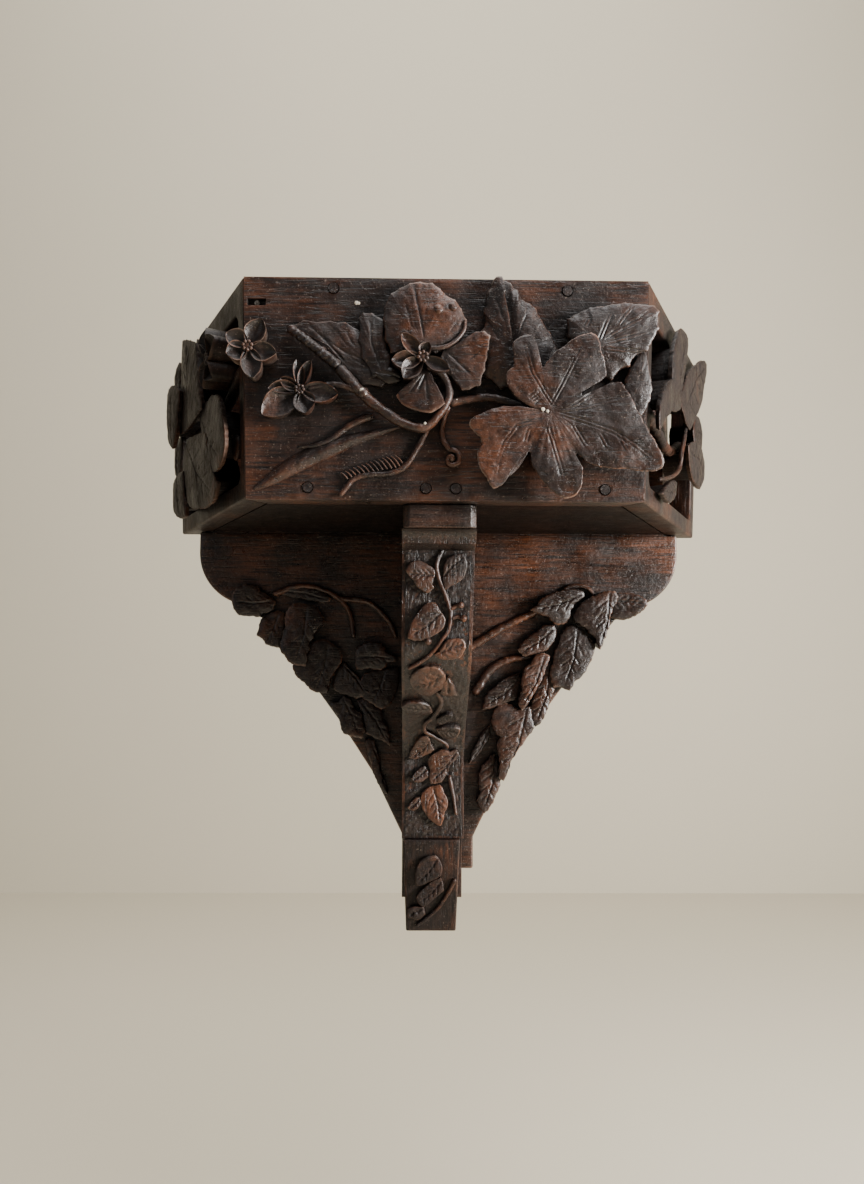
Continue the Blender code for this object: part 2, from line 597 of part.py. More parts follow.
def make_foot(wood):
    """The carved block in front of the strut's tail."""
    back, top = TAIL_DEPTH + JOINT_GAP, -(STRUT_DROP + JOINT_GAP)
    middle = STRUT_OFFSET - (STRUT_TOP_WIDTH - STRUT_LOW_WIDTH) / 2 - 0.6 * MM
    bm = bmesh.new()
    bmesh.ops.create_cube(bm, size=2.0)
    for vert in bm.verts:
        width = FOOT_TOP_WIDTH if vert.co.z > 0 else FOOT_LOW_WIDTH
        front = FOOT_TOP_DEPTH if vert.co.z > 0 else FOOT_LOW_DEPTH
        vert.co = (middle + vert.co.x * width / 2, -front if vert.co.y < 0 else -back,
                   top if vert.co.z > 0 else top - FOOT_HEIGHT)
    foot = place(bm, "foot_block", wood)
    up = Vector((0, (FOOT_LOW_DEPTH - FOOT_TOP_DEPTH) / FOOT_HEIGHT, 1))
    carve(foot, foot_carving(Face(Vector((middle, -FOOT_TOP_DEPTH, top)), Vector((1, 0, 0)), up,
                                  Vector((0, -1, 0)), FOOT_SCALE)))
    return foot


def make_pegs(front, boards, wood):
    """The pegs through the front apron into the boards behind it, and their holes."""
    half = SHELF_FRONT_WIDTH / 2
    high, low = APRON_HEIGHT - TOP_THICKNESS / 2, BOTTOM_THICKNESS / 2
    pegs = {"peg_top_left": (-0.57, high), "peg_top_right": (0.61, high), "peg_low_1": (-0.69, low),
            "peg_low_2": (-0.10, low), "peg_low_3": (0.05, low), "peg_low_4": (0.80, low)}
    for name, (share, level) in pegs.items():
        start = front_level(level) - PEG_PROUD
        place(rod(share * half, start, level, PEG_RADIUS, PEG_LENGTH), name, wood)
        for board in (front, boards["top" if level == high else "bottom"]):
            hole = rod(share * half, start - MM, level, PEG_RADIUS + JOINT_GAP, PEG_LENGTH + MM + JOINT_GAP)
            boolean(board, "DIFFERENCE", hole, f"{name}_hole_in_{board.name}")


def make_pin(front, metal):
    """The small pin in its slot at the upper left of the front apron."""
    level = APRON_HEIGHT - PIN_DROP
    left = PIN_INSET - SHELF_FRONT_WIDTH / 2
    start = front_level(level)
    low, high = level - SLOT_HEIGHT / 2, level + SLOT_HEIGHT / 2
    ends = (left - SLOT_LENGTH / 2, left + SLOT_LENGTH / 2)
    slot = slab([(ends[0], low), (ends[1], low), (ends[1], high), (ends[0], high)], start - MM, start + SLOT_DEPTH)
    boolean(front, "DIFFERENCE", slot, "pin_slot")
    boolean(front, "DIFFERENCE", rod(left, start, level, PIN_RADIUS + JOINT_GAP, PIN_LENGTH + JOINT_GAP), "pin_hole")
    place(rod(left, start + SLOT_DEPTH / 2, level, PIN_RADIUS, PIN_LENGTH - SLOT_DEPTH / 2), "corner_pin", metal)


def main():
    for old in list(bpy.data.objects):
        bpy.data.objects.remove(old)
    dark = make_material("dark_stained_wood", (0.052, 0.026, 0.018), 0.42)
    warm = make_material("warm_stained_wood", (0.075, 0.034, 0.02), 0.45)
    shade = make_material("board_wood", (0.06, 0.03, 0.02), 0.5)
    peg_wood = make_material("peg_wood", (0.035, 0.02, 0.015), 0.5)
    metal = make_material("pin_metal", (0.45, 0.42, 0.38), 0.4, 1.0)
    aprons = make_aprons(dark)
    boards = make_shelf_boards(shade)
    make_backboard(dark)
    make_cap(dark)
    make_strut(warm)
    make_foot(warm)
    make_pegs(aprons[FRONT], boards, peg_wood)
    make_pin(aprons[FRONT], metal)


main()
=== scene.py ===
"""Looks of the carved wooden wall bracket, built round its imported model.

A carving is drawn in millimetres on the face of its board, as its solid is. Every leaf, stem and petal is a
closed shell of its own, sunk in its board, with an undercut edge that throws a shadow.
"""

from __future__ import annotations

import json
import logging
import math
from dataclasses import dataclass
from enum import Enum

import bmesh
import bpy
import numpy as np
from mathutils import Matrix, Vector, noise

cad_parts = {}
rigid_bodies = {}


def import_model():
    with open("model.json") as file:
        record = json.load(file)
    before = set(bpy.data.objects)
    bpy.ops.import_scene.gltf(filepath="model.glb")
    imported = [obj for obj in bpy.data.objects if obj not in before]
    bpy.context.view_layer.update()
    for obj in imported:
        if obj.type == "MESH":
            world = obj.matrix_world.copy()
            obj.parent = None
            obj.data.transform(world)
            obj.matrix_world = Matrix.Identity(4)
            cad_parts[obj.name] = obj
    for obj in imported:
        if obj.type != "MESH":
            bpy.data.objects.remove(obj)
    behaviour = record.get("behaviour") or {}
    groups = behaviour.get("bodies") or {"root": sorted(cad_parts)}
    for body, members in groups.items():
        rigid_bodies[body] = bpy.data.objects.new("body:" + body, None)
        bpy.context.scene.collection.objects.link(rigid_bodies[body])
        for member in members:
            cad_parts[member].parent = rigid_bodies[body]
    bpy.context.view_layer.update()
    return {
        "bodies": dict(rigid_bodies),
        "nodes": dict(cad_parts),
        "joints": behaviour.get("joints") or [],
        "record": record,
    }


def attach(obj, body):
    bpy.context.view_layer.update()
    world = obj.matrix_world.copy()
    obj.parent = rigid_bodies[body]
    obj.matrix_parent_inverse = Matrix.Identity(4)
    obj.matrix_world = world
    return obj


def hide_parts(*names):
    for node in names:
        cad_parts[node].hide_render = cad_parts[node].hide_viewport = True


log = logging.getLogger("bracket")
MM = 0.001
# Convexity of the surface at each vertex: the material turns it into handled high places, painted highlights
# on edges and painted shade in hollows.
WEAR_AND_PAINTED_LIGHT = "wear_and_painted_light"
TONE = "tone"
ROUND = "round"
CHIP = 3.0
PHOTO_SIZE = (864, 1184)
Point2 = tuple[float, float]
Rim = tuple[tuple[float, float], ...]
Vein = tuple[Point2, ...]
Trace = tuple[tuple[Point2, ...], tuple[Point2, Point2]]
Colour = tuple[float, float, float]


class Side(Enum):
    """The two slanted sides of the box, as the sign of their X."""

    LEFT = -1
    RIGHT = 1


class Grain(Enum):
    """The axis that a board's grain runs along."""

    ACROSS = 0
    OUT = 1
    UP = 2


@dataclass(frozen=True)
class BracketSizes:
    """Driving sizes of the bracket in millimetres, the same as those of its solids."""

    back_width: float = 300.0
    front_width: float = 180.0
    depth: float = 127.0
    apron_height: float = 101.0
    flare: float = 3.5
    apron_thickness: float = 12.5
    gap: float = 0.3
    front_stile: float = 8.0
    rear_stile: float = 11.0
    bottom_rail: float = 9.0
    top_rail: float = 14.0
    top_thickness: float = 10.0
    board_thickness: float = 16.0
    board_width: float = 272.0
    board_drop: float = 188.0
    stem_width: float = 39.0
    band_drop: float = 42.0
    band_radius: float = 30.0
    strut_offset: float = -2.3
    strut_top_width: float = 35.0
    strut_low_width: float = 32.3
    head_depth: float = 104.0
    shoulder_depth: float = 99.0
    waist_depth: float = 49.0
    shoulder_drop: float = 62.0
    waist_drop: float = 124.0
    strut_drop: float = 165.0
    tail_depth: float = 30.0
    tail_drop: float = 200.0
    cap_width: float = 33.8
    cap_height: float = 11.0
    cap_depth: float = 119.0
    cap_chamfer: float = 2.6
    cove: float = 6.0
    foot_top_width: float = 29.6
    foot_low_width: float = 26.0
    foot_top_depth: float = 52.0
    foot_low_depth: float = 46.0
    foot_height: float = 48.0

    @property
    def side_angle(self) -> float:
        """How far a side turns back from the wall's normal, in radians."""
        return math.atan((self.back_width - self.front_width) / 2 / self.depth)

    @property
    def side_length(self) -> float:
        """The length of a side's outer face in plan."""
        return self.depth / math.cos(self.side_angle)

    @property
    def mitre_shift(self) -> float:
        """How far a front corner moves along X for each millimetre that the faces move out."""
        return (1 - math.sin(self.side_angle)) / math.cos(self.side_angle)

    def strut_width(self, drop: float) -> float:
        """The strut's width at a distance below the underside of the box."""
        share = min(drop / self.waist_drop, 1.0)
        return self.strut_top_width + (self.strut_low_width - self.strut_top_width) * share

    def strut_depth(self, drop: float) -> float:
        """How far the strut's face is from the wall.

        Args:
            drop: The distance below the underside of the box.

        Returns:
            The depth in millimetres.
        """
        share = drop / self.shoulder_drop
        if share <= 1:
            return self.head_depth + (self.shoulder_depth - self.head_depth) * max(share, 0.0)
        share = min(1.0, (drop - self.shoulder_drop) / (self.waist_drop - self.shoulder_drop))
        sweep = share * share * (3 - 2 * share)
        return self.shoulder_depth + (self.waist_depth - self.shoulder_depth) * sweep


@dataclass(frozen=True)
class Face:
    """A flat face that a carving is drawn on, in millimetres."""

    origin: Vector
    along: Vector
    up: Vector
    out: Vector

    def place(self, x: float, y: float, z: float) -> Vector:
        """Gives the place in space of a drawn point.

        Args:
            x: The distance across the face.
            y: The distance up the face.
            z: The height above the face.

        Returns:
            The place in millimetres.
        """
        return self.origin + self.along * x + self.up * y + self.out * z


@dataclass(frozen=True)
class StrutFace(Face):
    """The curved face of the strut, drawn from the underside of the box down."""

    sizes: BracketSizes = BracketSizes()

    def place(self, x: float, y: float, z: float) -> Vector:
        """Gives the place in space of a drawn point.

        Args:
            x: How far across, in millimetres.
            y: How far up.
            z: How far out of the face.

        Returns:
            The place in millimetres.
        """
        depth = self.sizes.strut_depth(-y)
        out = Vector((0, -1, self.sizes.strut_depth(1 - y) - depth)).normalized()
        return Vector((x, -depth, y)) + out * z


def apron_face(sizes: BracketSizes, side: Side | None) -> Face:
    """Gives the outer face of an apron.

    Args:
        sizes: The bracket's sizes.
        side: The slanted side, or None for the front.

    Returns:
        The face. A side's is drawn from its front arris to the wall.
    """
    if side is None:
        out, along = Vector((0, -1, 0)), Vector((1, 0, 0))
        origin = Vector((0, -sizes.depth, 0))
    else:
        sine, cosine = math.sin(sizes.side_angle), math.cos(sizes.side_angle)
        out = Vector((side.value * cosine, -sine, 0))
        along = Vector((side.value * sine, cosine, 0))
        origin = Vector((side.value * sizes.front_width / 2, -sizes.depth, 0))
    return Face(origin, along, Vector((0, 0, 1)) + out * sizes.flare / sizes.apron_height, out)


def ripple(x: float, y: float, size: float, seed: float) -> float:
    """Gives a smooth random value at a place, from -1 to 1.

    Args:
        x: The place along one axis.
        y: The place along the other.
        size: The size of the ripples.
        seed: What sets one pattern apart from another.

    Returns:
        The value.
    """
    return noise.noise(Vector((x / size, y / size, seed * 7.31)))


def groove(distance: float, width: float) -> float:
    """Gives a round-bottomed groove's depth, from 1 in its middle to 0 at its edge."""
    share = min(abs(distance) / width, 1.0)
    return (1 - share * share) ** 2


def face_outward(mesh: bmesh.types.BMesh) -> None:
    """Turns the faces of a closed shell outward.

    Args:
        mesh: The closed shell.
    """
    mesh.normal_update()
    bmesh.ops.recalc_face_normals(mesh, faces=mesh.faces)
    if mesh.calc_volume(signed=True) < 0:
        bmesh.ops.reverse_faces(mesh, faces=mesh.faces)


def new_verts(grown: dict) -> list[bmesh.types.BMVert]:
    """Gives the vertices that an operator has made."""
    return [element for element in grown["geom"] if isinstance(element, bmesh.types.BMVert)]


def new_edges(grown: dict) -> list[bmesh.types.BMEdge]:
    """Gives the edges that an operator has made."""
    return [element for element in grown["geom"] if isinstance(element, bmesh.types.BMEdge)]


class Shell:
    """A closed carved form: a sheet with an edge that drops to an undercut foot in the board."""

    def __init__(self) -> None:
        """Starts an empty form."""
        self.mesh = bmesh.new()

    def close(self, thickness: float, undercut: float, bed: float, spine: tuple[Point2, Point2],
              hollow: bool = False) -> None:
        """Drops the sheet's rim to its thickness, takes it in beneath, and closes its foot.

        Args:
            thickness: How deep the visible edge is.
            undercut: The share that the foot is drawn in towards the spine.
            bed: How far below the face the foot lies.
            spine: The ends of the line that the foot is drawn in towards.
            hollow: Whether the sheet is cut thin, on a foot straight under its spine.
        """
        start, end = Vector(spine[0]), Vector(spine[1])
        run = end - start

        def draw_in(vert: bmesh.types.BMVert, share: float) -> None:
            """Moves a vertex towards the nearest point of the spine.

            Args:
                vert: The vertex.
                share: How far it moves, from 0 to 1.
            """
            spot = vert.co.xy
            travel = (spot - start).dot(run) / run.length_squared if run.length else 0.0
            vert.co.xy = spot.lerp(start + run * min(max(travel, 0.0), 1.0), share)

        rim = [edge for edge in self.mesh.edges if edge.is_boundary]
        lip = bmesh.ops.extrude_edge_only(self.mesh, edges=rim)
        for vert in new_verts(lip):
            vert.co.z -= thickness
            draw_in(vert, undercut * 0.12)
        edge_loop = new_edges(lip)
        if hollow:
            under = bmesh.ops.extrude_edge_only(self.mesh, edges=edge_loop)
            for vert in new_verts(under):
                vert.co.z -= thickness * 0.25
                draw_in(vert, undercut)
            edge_loop = new_edges(under)
        foot = bmesh.ops.extrude_edge_only(self.mesh, edges=edge_loop)
        for vert in new_verts(foot):
            vert.co.z = -bed
            draw_in(vert, 0.1 if hollow else undercut)
        bmesh.ops.holes_fill(self.mesh, edges=new_edges(foot), sides=0)

    def lay(self, face: Face, spot: Point2, heading: float = 0.0) -> bmesh.types.BMesh:
        """Turns the form to its heading and lays it on a face.

        Args:
            face: The face.
            spot: The place of the form's root.
            heading: Its turn in degrees.

        Returns:
            The finished mesh, in millimetres.
        """
        turn = Matrix.Rotation(math.radians(heading), 2)
        for vert in self.mesh.verts:
            x, y = Vector(spot) + turn @ vert.co.xy
            vert.co = face.place(x, y, vert.co.z)
        face_outward(self.mesh)
        return self.mesh


@dataclass(frozen=True)
class Leaf:
    """A pointed leaf, from its root at spot. Sizes are in millimetres and heights are above the face."""

    spot: Point2
    heading: float
    length: float
    width: float
    crown: float
    edge: float
    point: float = 0.75
    teeth: float = 5.0
    tooth: float = 0.07
    veins: int = 5
    vein_depth: float = 0.55
    cup: float = 0.0
    lift: float = 0.0
    full: float = 0.8
    thickness: float = 2.2
    undercut: float = 0.16
    bed: float = 1.0
    spacing: float = 0.75
    hollow: bool = False
    tone: float = 0.0

    def breadth(self, share: float, across: float, seed: float) -> float:
        """Gives the leaf's half width on one side.

        Args:
            share: The place from root to tip.
            across: Which side of the midrib, and how far out.
            seed: The leaf's own number.

        Returns:
            The half width.
        """
        plain = abs(math.sin(math.pi * share ** self.point)) ** self.full * self.width / 2
        phase = share * self.length / self.teeth + (0.5 if across > 0 else 0.0) + seed
        bite = abs(phase % 1.0 - 0.35) / 0.65
        uneven = ripple(share * self.length, math.copysign(20, across), 9, seed)
        return plain * (1 - self.tooth * bite ** 1.5 + 0.1 * uneven)

    def height(self, share: float, across: float, seed: float) -> float:
        """Gives the height of the leaf's surface.

        Args:
            share: The place from root to tip.
            across: The place across, from -1 to 1.
            seed: The leaf's own number.

        Returns:
            The height above the face.
        """
        out = abs(across)
        swell = abs(math.sin(math.pi * share)) ** 0.5
        level = self.edge + (self.crown - self.edge) * (1 - out ** 1.7) * swell
        level += self.lift * share + self.cup * out ** 2.2 * swell
        x, y = share * self.length, across * self.width / 2
        level += 0.45 * ripple(x, y, 7, seed) + 0.18 * ripple(x, y, 2.6, seed + 3)
        level -= self.vein_depth * groove(y, 0.95) * min(1.0, 4 * (1 - share))
        if self.veins:
            slant = share * (self.veins + 1) - out * 1.25 + (0.3 if across > 0 else 0.0)
            pitch = self.length / (self.veins + 1)
            offset = (slant % 1.0 - 0.5) * pitch * 0.75
            level -= self.vein_depth * 0.75 * groove(offset, 0.85) * (1 - out ** 4) * min(1.0, 5 * out)
        return level

    def build(self, face: Face, seed: float) -> bmesh.types.BMesh:
        """Makes the leaf's mesh.

        Args:
            face: The face that it lies on.
            seed: The leaf's own number.

        Returns:
            The mesh, in millimetres.
        """
        shell = Shell()
        rows = max(14, round(self.length / self.spacing))
        columns = 2 * max(5, round(self.width / self.spacing / 2))
        bmesh.ops.create_grid(shell.mesh, x_segments=rows, y_segments=columns, size=0.5)
        for vert in shell.mesh.verts:
            share = min(max(vert.co.x + 0.5, 0.0), 1.0)
            across = max(-1.0, min(1.0, vert.co.y * 2))
            width = self.breadth(share, across, seed)
            level = self.height(share, across, seed) - (0.35 if abs(across) > 0.99 else 0.0)
            if width < 0.02:
                level = self.height(share, 0.0, seed)
            sweep = self.length * 0.06 * math.sin(math.pi * share) * math.sin(seed * 5)
            vert.co = (share * self.length, across * width + sweep, level)
        bmesh.ops.remove_doubles(shell.mesh, verts=shell.mesh.verts, dist=0.02)
        spine = ((self.length * 0.3, 0.0), (self.length * 0.7, 0.0))
        shell.close(self.thickness, self.undercut, self.bed, spine, self.hollow)
        return shell.lay(face, self.spot, self.heading)


@dataclass(frozen=True)
class LobedLeaf:
    """A leaf of a free outline. Its rim is the heading and the reach of each tip and notch from its stalk.

    A vein is a line of points from the stalk, cut as two fine lines side by side. A fold is a line that the
    leaf is creased along.
    """

    spot: Point2
    rim: Rim
    crown: float
    edge: float
    veins: tuple[Vein, ...] = ()
    fold: Vein = ()
    tilt: Point2 = (0.0, 0.0)
    tooth: float = 0.5
    pitch: float = 3.1
    thickness: float = 2.4
    undercut: float = 0.1
    bed: float = 1.0
    spacing: float = 0.85
    vein_depth: float = 0.32
    hollow: bool = False
    paired: bool = False
    stroke: float = 0.12
    wave: float = 0.75
    root: Point2 = (0.0, 0.0)
    tone: float = 0.0

    @classmethod
    def trace(cls, drawn: Trace, crown: float, edge: float, rise: float = 0.0, **style: object) -> LobedLeaf:
        """Makes a leaf from the points of its outline and the two ends of its midrib.

        Args:
            drawn: The points and the midrib's ends, root first.
            crown: The height of its middle.
            edge: The height of its rim.
            rise: How much higher its tip stands than its root.
            style: Other fields of the leaf.

        Returns:
            The leaf, with its side veins.
        """
        points, (root, tip) = drawn
        middle = sum((Vector(point) for point in points), Vector((0, 0))) / len(points)
        gaps = [Vector(point) - middle for point in points]
        if sum(a.cross(b) for a, b in zip(gaps, gaps[1:] + gaps[:1])) < 0:
            gaps.reverse()
        rim = tuple((math.degrees(math.atan2(gap.y, gap.x)), gap.length) for gap in gaps)
        start, run = Vector(root) - middle, Vector(tip) - Vector(root)
        veins = [(tuple(start), tuple(start + run * 0.5 + run.orthogonal() * 0.05),
                  tuple(start + run * 0.95))]
        for share in (0.16, 0.36, 0.56, 0.74):
            for side in (1, -1):
                base = start + run * (share + 0.04 * side)
                way = Matrix.Rotation(side * 0.72, 2) @ run
                veins.append((tuple(base), tuple(base + way * (0.34 - 0.26 * share))))
        slope = tuple(run * (rise / run.length_squared))
        return cls(tuple(middle), rim, crown, edge, tuple(veins), tilt=slope, root=tuple(start), **style)

    def outline(self, seed: float) -> list[Vector]:
        """Gives the leaf's outline, with its small teeth.

        Args:
            seed: The leaf's own number.

        Returns:
            The points round the stalk.
        """
        corners = [Vector((r * math.cos(math.radians(a)), r * math.sin(math.radians(a))))
                   for a, r in self.rim]
        points = []
        for start, end in zip(corners, corners[1:] + corners[:1]):
            chord = end - start
            steps = max(2, round(chord.length / self.spacing))
            outward = Vector((chord.y, -chord.x)).normalized()
            for step in range(steps):
                share = step / steps
                swell = math.sin(math.pi * share) * min(chord.length * 0.07, 0.8)
                travel = share * chord.length / self.pitch + seed
                faded = min(1.0, 6 * share * (1 - share) + 0.2)
                bite = self.tooth * (abs(travel % 1.0 - 0.4) / 0.6) ** 1.4 * faded
                spot = start + chord * share
                shake = 0.4 * ripple(spot.x, spot.y, 4, seed)
                points.append(spot + outward * (swell - bite * 0.6 + shake))
        return points

    @staticmethod
    def nearest(line: Vein, spot: Vector) -> tuple[float, float, float]:
        """Finds the nearest place on a drawn line.

        Args:
            line: The line's points.
            spot: The place that it is measured from.

        Returns:
            The distance, the place's share of the line, and the side of the line as 1 or -1.
        """
        best = (1e9, 0.0, 1.0)
        for index, (first, last) in enumerate(zip(line, line[1:])):
            start, run = Vector(first), Vector(last) - Vector(first)
            share = min(max((spot - start).dot(run) / run.length_squared, 0.0), 1.0)
            gap = spot - start - run * share
            if gap.length < best[0]:
                side = 1.0 if run.cross(gap) > 0 else -1.0
                best = (gap.length, (index + share) / (len(line) - 1), side)
        return best

    def height(self, spot: Vector, share: float, seed: float) -> float:
        """Gives the height of the leaf's surface.

        Args:
            spot: The place from the stalk.
            share: How far out it is, from 0 at the stalk to 1 at the rim.
            seed: The leaf's own number.

        Returns:
            The height above the face.
        """
        level = self.edge + (self.crown - self.edge) * (1 - share ** 4)
        level += self.tilt[0] * spot.x + self.tilt[1] * spot.y
        level += self.wave * ripple(spot.x, spot.y, 10, seed) + 0.2 * ripple(spot.x, spot.y, 3, seed + 2)
        stroke = spot - Vector(self.root)
        turn = math.atan2(stroke.y, stroke.x)
        brush = Vector((turn * 11, stroke.length / 11, seed))
        level += self.stroke * min(1.0, stroke.length / 9) * noise.noise(brush)
        for index, line in enumerate(self.veins):
            gap, travel, _ = self.nearest(line, spot)
            if gap > 2.2:
                continue
            fade = min(1.0, 7 * travel + 0.3, 7 * (1 - travel) + 0.1)
            single = groove(gap, 0.85) * (1.3 if index == 0 else 0.8)
            cut = groove(gap - 0.75, 0.7) if self.paired else single
            level -= self.vein_depth * fade * cut
        if self.fold:
            gap, _, side = self.nearest(self.fold, spot)
            level += 1.6 * math.exp(-(gap / 5) ** 2) if side < 0 else -2.4 * math.exp(-(gap / 3.2) ** 2)
        return level

    def build(self, face: Face, seed: float) -> bmesh.types.BMesh:
        """Makes the leaf's mesh.

        Args:
            face: The face that it lies on.
            seed: Its own number.

        Returns:
            The mesh in millimetres.
        """
        shell = Shell()
        outline = self.outline(seed)
        bmesh.ops.create_circle(shell.mesh, segments=len(outline), radius=1.0)
        for vert, point in zip(shell.mesh.verts, outline):
            vert.co = (*point, 0)
        rings = max(8, round(max(reach for _, reach in self.rim) / self.spacing))
        shares = {vert: 1.0 for vert in shell.mesh.verts}
        edges = list(shell.mesh.edges)
        for ring in range(1, rings):
            grown = bmesh.ops.extrude_edge_only(shell.mesh, edges=edges)
            for vert in new_verts(grown):
                vert.co *= (rings - ring) / (rings - ring + 1)
                shares[vert] = (rings - ring) / rings
            edges = new_edges(grown)
        grown = bmesh.ops.extrude_edge_only(shell.mesh, edges=edges)
        bmesh.ops.pointmerge(shell.mesh, verts=new_verts(grown), merge_co=(0, 0, 0))
        for vert in shell.mesh.verts:
            share = shares.get(vert, 0.0)
            vert.co.z = self.height(vert.co.xy, share, seed) - (0.35 if share == 1.0 else 0.0)
        shell.close(self.thickness, self.undercut, self.bed, ((0, 0), (0, 0)), self.hollow)
        return shell.lay(face, self.spot)


@dataclass(frozen=True)
class Stem:
    """A round stem along drawn points. Each point is its place across, up and, where given, its height."""

    points: tuple[tuple[float, ...], ...]
    radius: float
    end_radius: float
    height: float
    binding: float = 0.0
    pitch: float = 1.7
    tone: float = 0.25

    def build(self, face: Face, seed: float) -> bmesh.types.BMesh:
        """Makes the stem's mesh.

        Args:
            face: The face that it lies on.
            seed: Its own number.

        Returns:
            The mesh in millimetres.
        """
        knots = [Vector((*point, self.height)[:3]) for point in self.points]
        knots = [knots[0] * 2 - knots[1]] + knots + [knots[-1] * 2 - knots[-2]]
        route = []
        for a, b, c, d in zip(knots, knots[1:], knots[2:], knots[3:]):
            steps = max(3, round((c - b).length / (0.45 if self.binding else 0.75)))
            for step in range(steps):
                t = step / steps
                route.append(0.5 * (2 * b + (c - a) * t + (2 * a - 5 * b + 4 * c - d) * t ** 2
                                    + (3 * b - a - 3 * c + d) * t ** 3))
        route.append(knots[-2])
        mesh = bmesh.new()
        sides = 14 if self.binding else 10
        ring = {vert: 2 * math.pi * index / sides for index, vert in enumerate(
            bmesh.ops.create_circle(mesh, cap_ends=True, segments=sides, radius=1.0)["verts"])}
        self.shape_ring(ring, face, route, 0, 0.0, seed)
        edges = list(mesh.edges)
        travel = 0.0
        for index in range(1, len(route)):
            travel += (route[index] - route[index - 1]).length
            grown = bmesh.ops.extrude_edge_only(mesh, edges=edges)
            fresh = {}
            for vert in new_verts(grown):
                source = next(edge.other_vert(vert) for edge in vert.link_edges
                              if edge.other_vert(vert) in ring)
                fresh[vert] = ring[source]
            self.shape_ring(fresh, face, route, index, travel, seed)
            ring, edges = fresh, new_edges(grown)
        bmesh.ops.holes_fill(mesh, edges=edges, sides=0)
        face_outward(mesh)
        return mesh

    def shape_ring(self, ring: dict, face: Face, route: list[Vector], index: int, travel: float,
                   seed: float) -> None:
        """Places one ring of the stem's surface.

        Args:
            ring: The angle round the stem of each of its vertices.
            face: The face that the stem lies on.
            route: The places that the stem runs through.
            index: The ring's number.
            travel: How far along the stem it is.
            seed: The stem's own number.
        """
        last = len(route) - 1
        here = face.place(*route[index])
        way = face.place(*route[min(index + 1, last)]) - face.place(*route[max(index - 1, 0)])
        side = way.cross(face.out).normalized()
        up = side.cross(way).normalized()
        share = index / last
        radius = self.radius + (self.end_radius - self.radius) * share
        ends = min(1.0, (min(index, last - index) + 0.3) * 0.8 / radius) ** 0.5
        for vert, angle in ring.items():
            uneven = 1 + 0.2 * ripple(travel, angle * 1.6, 2.6, seed)
            twist = 1 + self.binding * (2 * abs(math.sin(math.pi * travel / self.pitch - 1.5 * angle)) - 1)
            size = radius * ends * uneven * twist
            vert.co = here + side * (size * math.cos(angle)) + up * (size * math.sin(angle))


@dataclass(frozen=True)
class Knob:
    """A round bead: a bud, a berry or the heart of a blossom."""

    spot: Point2
    radius: float
    height: float
    flat: float = 1.0
    tone: float = 0.1

    def build(self, face: Face, seed: float) -> bmesh.types.BMesh:
        """Makes the bead's mesh.

        Args:
            face: The face that it lies on.
            seed: Its own number.

        Returns:
            The mesh in millimetres.
        """
        mesh = bmesh.new()
        bmesh.ops.create_icosphere(mesh, subdivisions=3, radius=self.radius)
        for vert in mesh.verts:
            shake = 1 + 0.1 * ripple(vert.co.x + 3 * vert.co.z, vert.co.y, self.radius, seed)
            x, y, z = vert.co * shake
            vert.co = face.place(self.spot[0] + x, self.spot[1] + y, self.height + z * self.flat)
        face_outward(mesh)
        return mesh


@dataclass(frozen=True)
class Blossom:
    """Cupped petals round a heart. Each petal is its heading, its reach and its width."""

    spot: Point2
    petals: tuple[tuple[float, float, float], ...]
    height: float
    heart: float = 2.4
    cup: float = 1.7
    bed: float = 1.0
    tone: float = 0.2

    def build(self, face: Face, seed: float) -> bmesh.types.BMesh:
        """Makes the blossom's mesh.

        Args:
            face: The face that it lies on.
            seed: Its own number.

        Returns:
            The mesh in millimetres.
        """
        mesh = bmesh.new()
        for index, (heading, reach, width) in enumerate(self.petals):
            petal = Leaf(self.spot, heading, reach, width * 1.12, self.height - 0.6, self.height + 0.3,
                         point=1.05, full=0.68, tooth=0.0, veins=0, cup=self.cup, lift=1.4, thickness=2.0,
                         undercut=0.22, bed=self.bed, spacing=0.5, vein_depth=0.0)
            absorb(mesh, petal.build(face, seed + index * 0.37))
        absorb(mesh, Knob(self.spot, self.heart, self.height + 0.8, 0.8).build(face, seed))
        ring = self.heart * 0.95
        for index in range(7):
            angle = 2 * math.pi * index / 7 + seed
            spot = (self.spot[0] + ring * math.cos(angle), self.spot[1] + ring * math.sin(angle))
            absorb(mesh, Knob(spot, self.heart * 0.42, self.height + 2.0).build(face, seed + index))
        return mesh


@dataclass(frozen=True)
class Ground:
    """The stippled ground of the strut's face, between its leaves."""

    sizes: BracketSizes
    top: float = 21.0
    border: float = 1.6
    height: float = 0.15
    stipple: float = 0.5
    tone: float = -1.6

    def build(self, face: Face, seed: float) -> bmesh.types.BMesh:
        """Makes the ground's mesh.

        Args:
            face: The face that it lies on.
            seed: Its own number.

        Returns:
            The mesh in millimetres.
        """
        sizes = self.sizes
        shell = Shell()
        bmesh.ops.create_grid(shell.mesh, x_segments=40, y_segments=180, size=0.5)
        for vert in shell.mesh.verts:
            drop = self.top + (sizes.strut_drop - self.top - 1.5) * (0.5 - vert.co.y)
            width = sizes.strut_width(drop) - 2 * self.border
            x = sizes.strut_offset - sizes.strut_top_width / 2 + self.border + width * (vert.co.x + 0.5)
            level = self.height + self.stipple * ripple(x, drop, 1.7, seed) + 0.35 * ripple(x, drop, 6, seed)
            vert.co = (x, -drop, level)
        middle = (sizes.strut_offset, -sizes.strut_drop / 2)
        shell.close(0.3, 0.0, 0.6, (middle, middle))
        return shell.lay(face, (0.0, 0.0))


Form = Leaf | LobedLeaf | Stem | Knob | Blossom | Ground


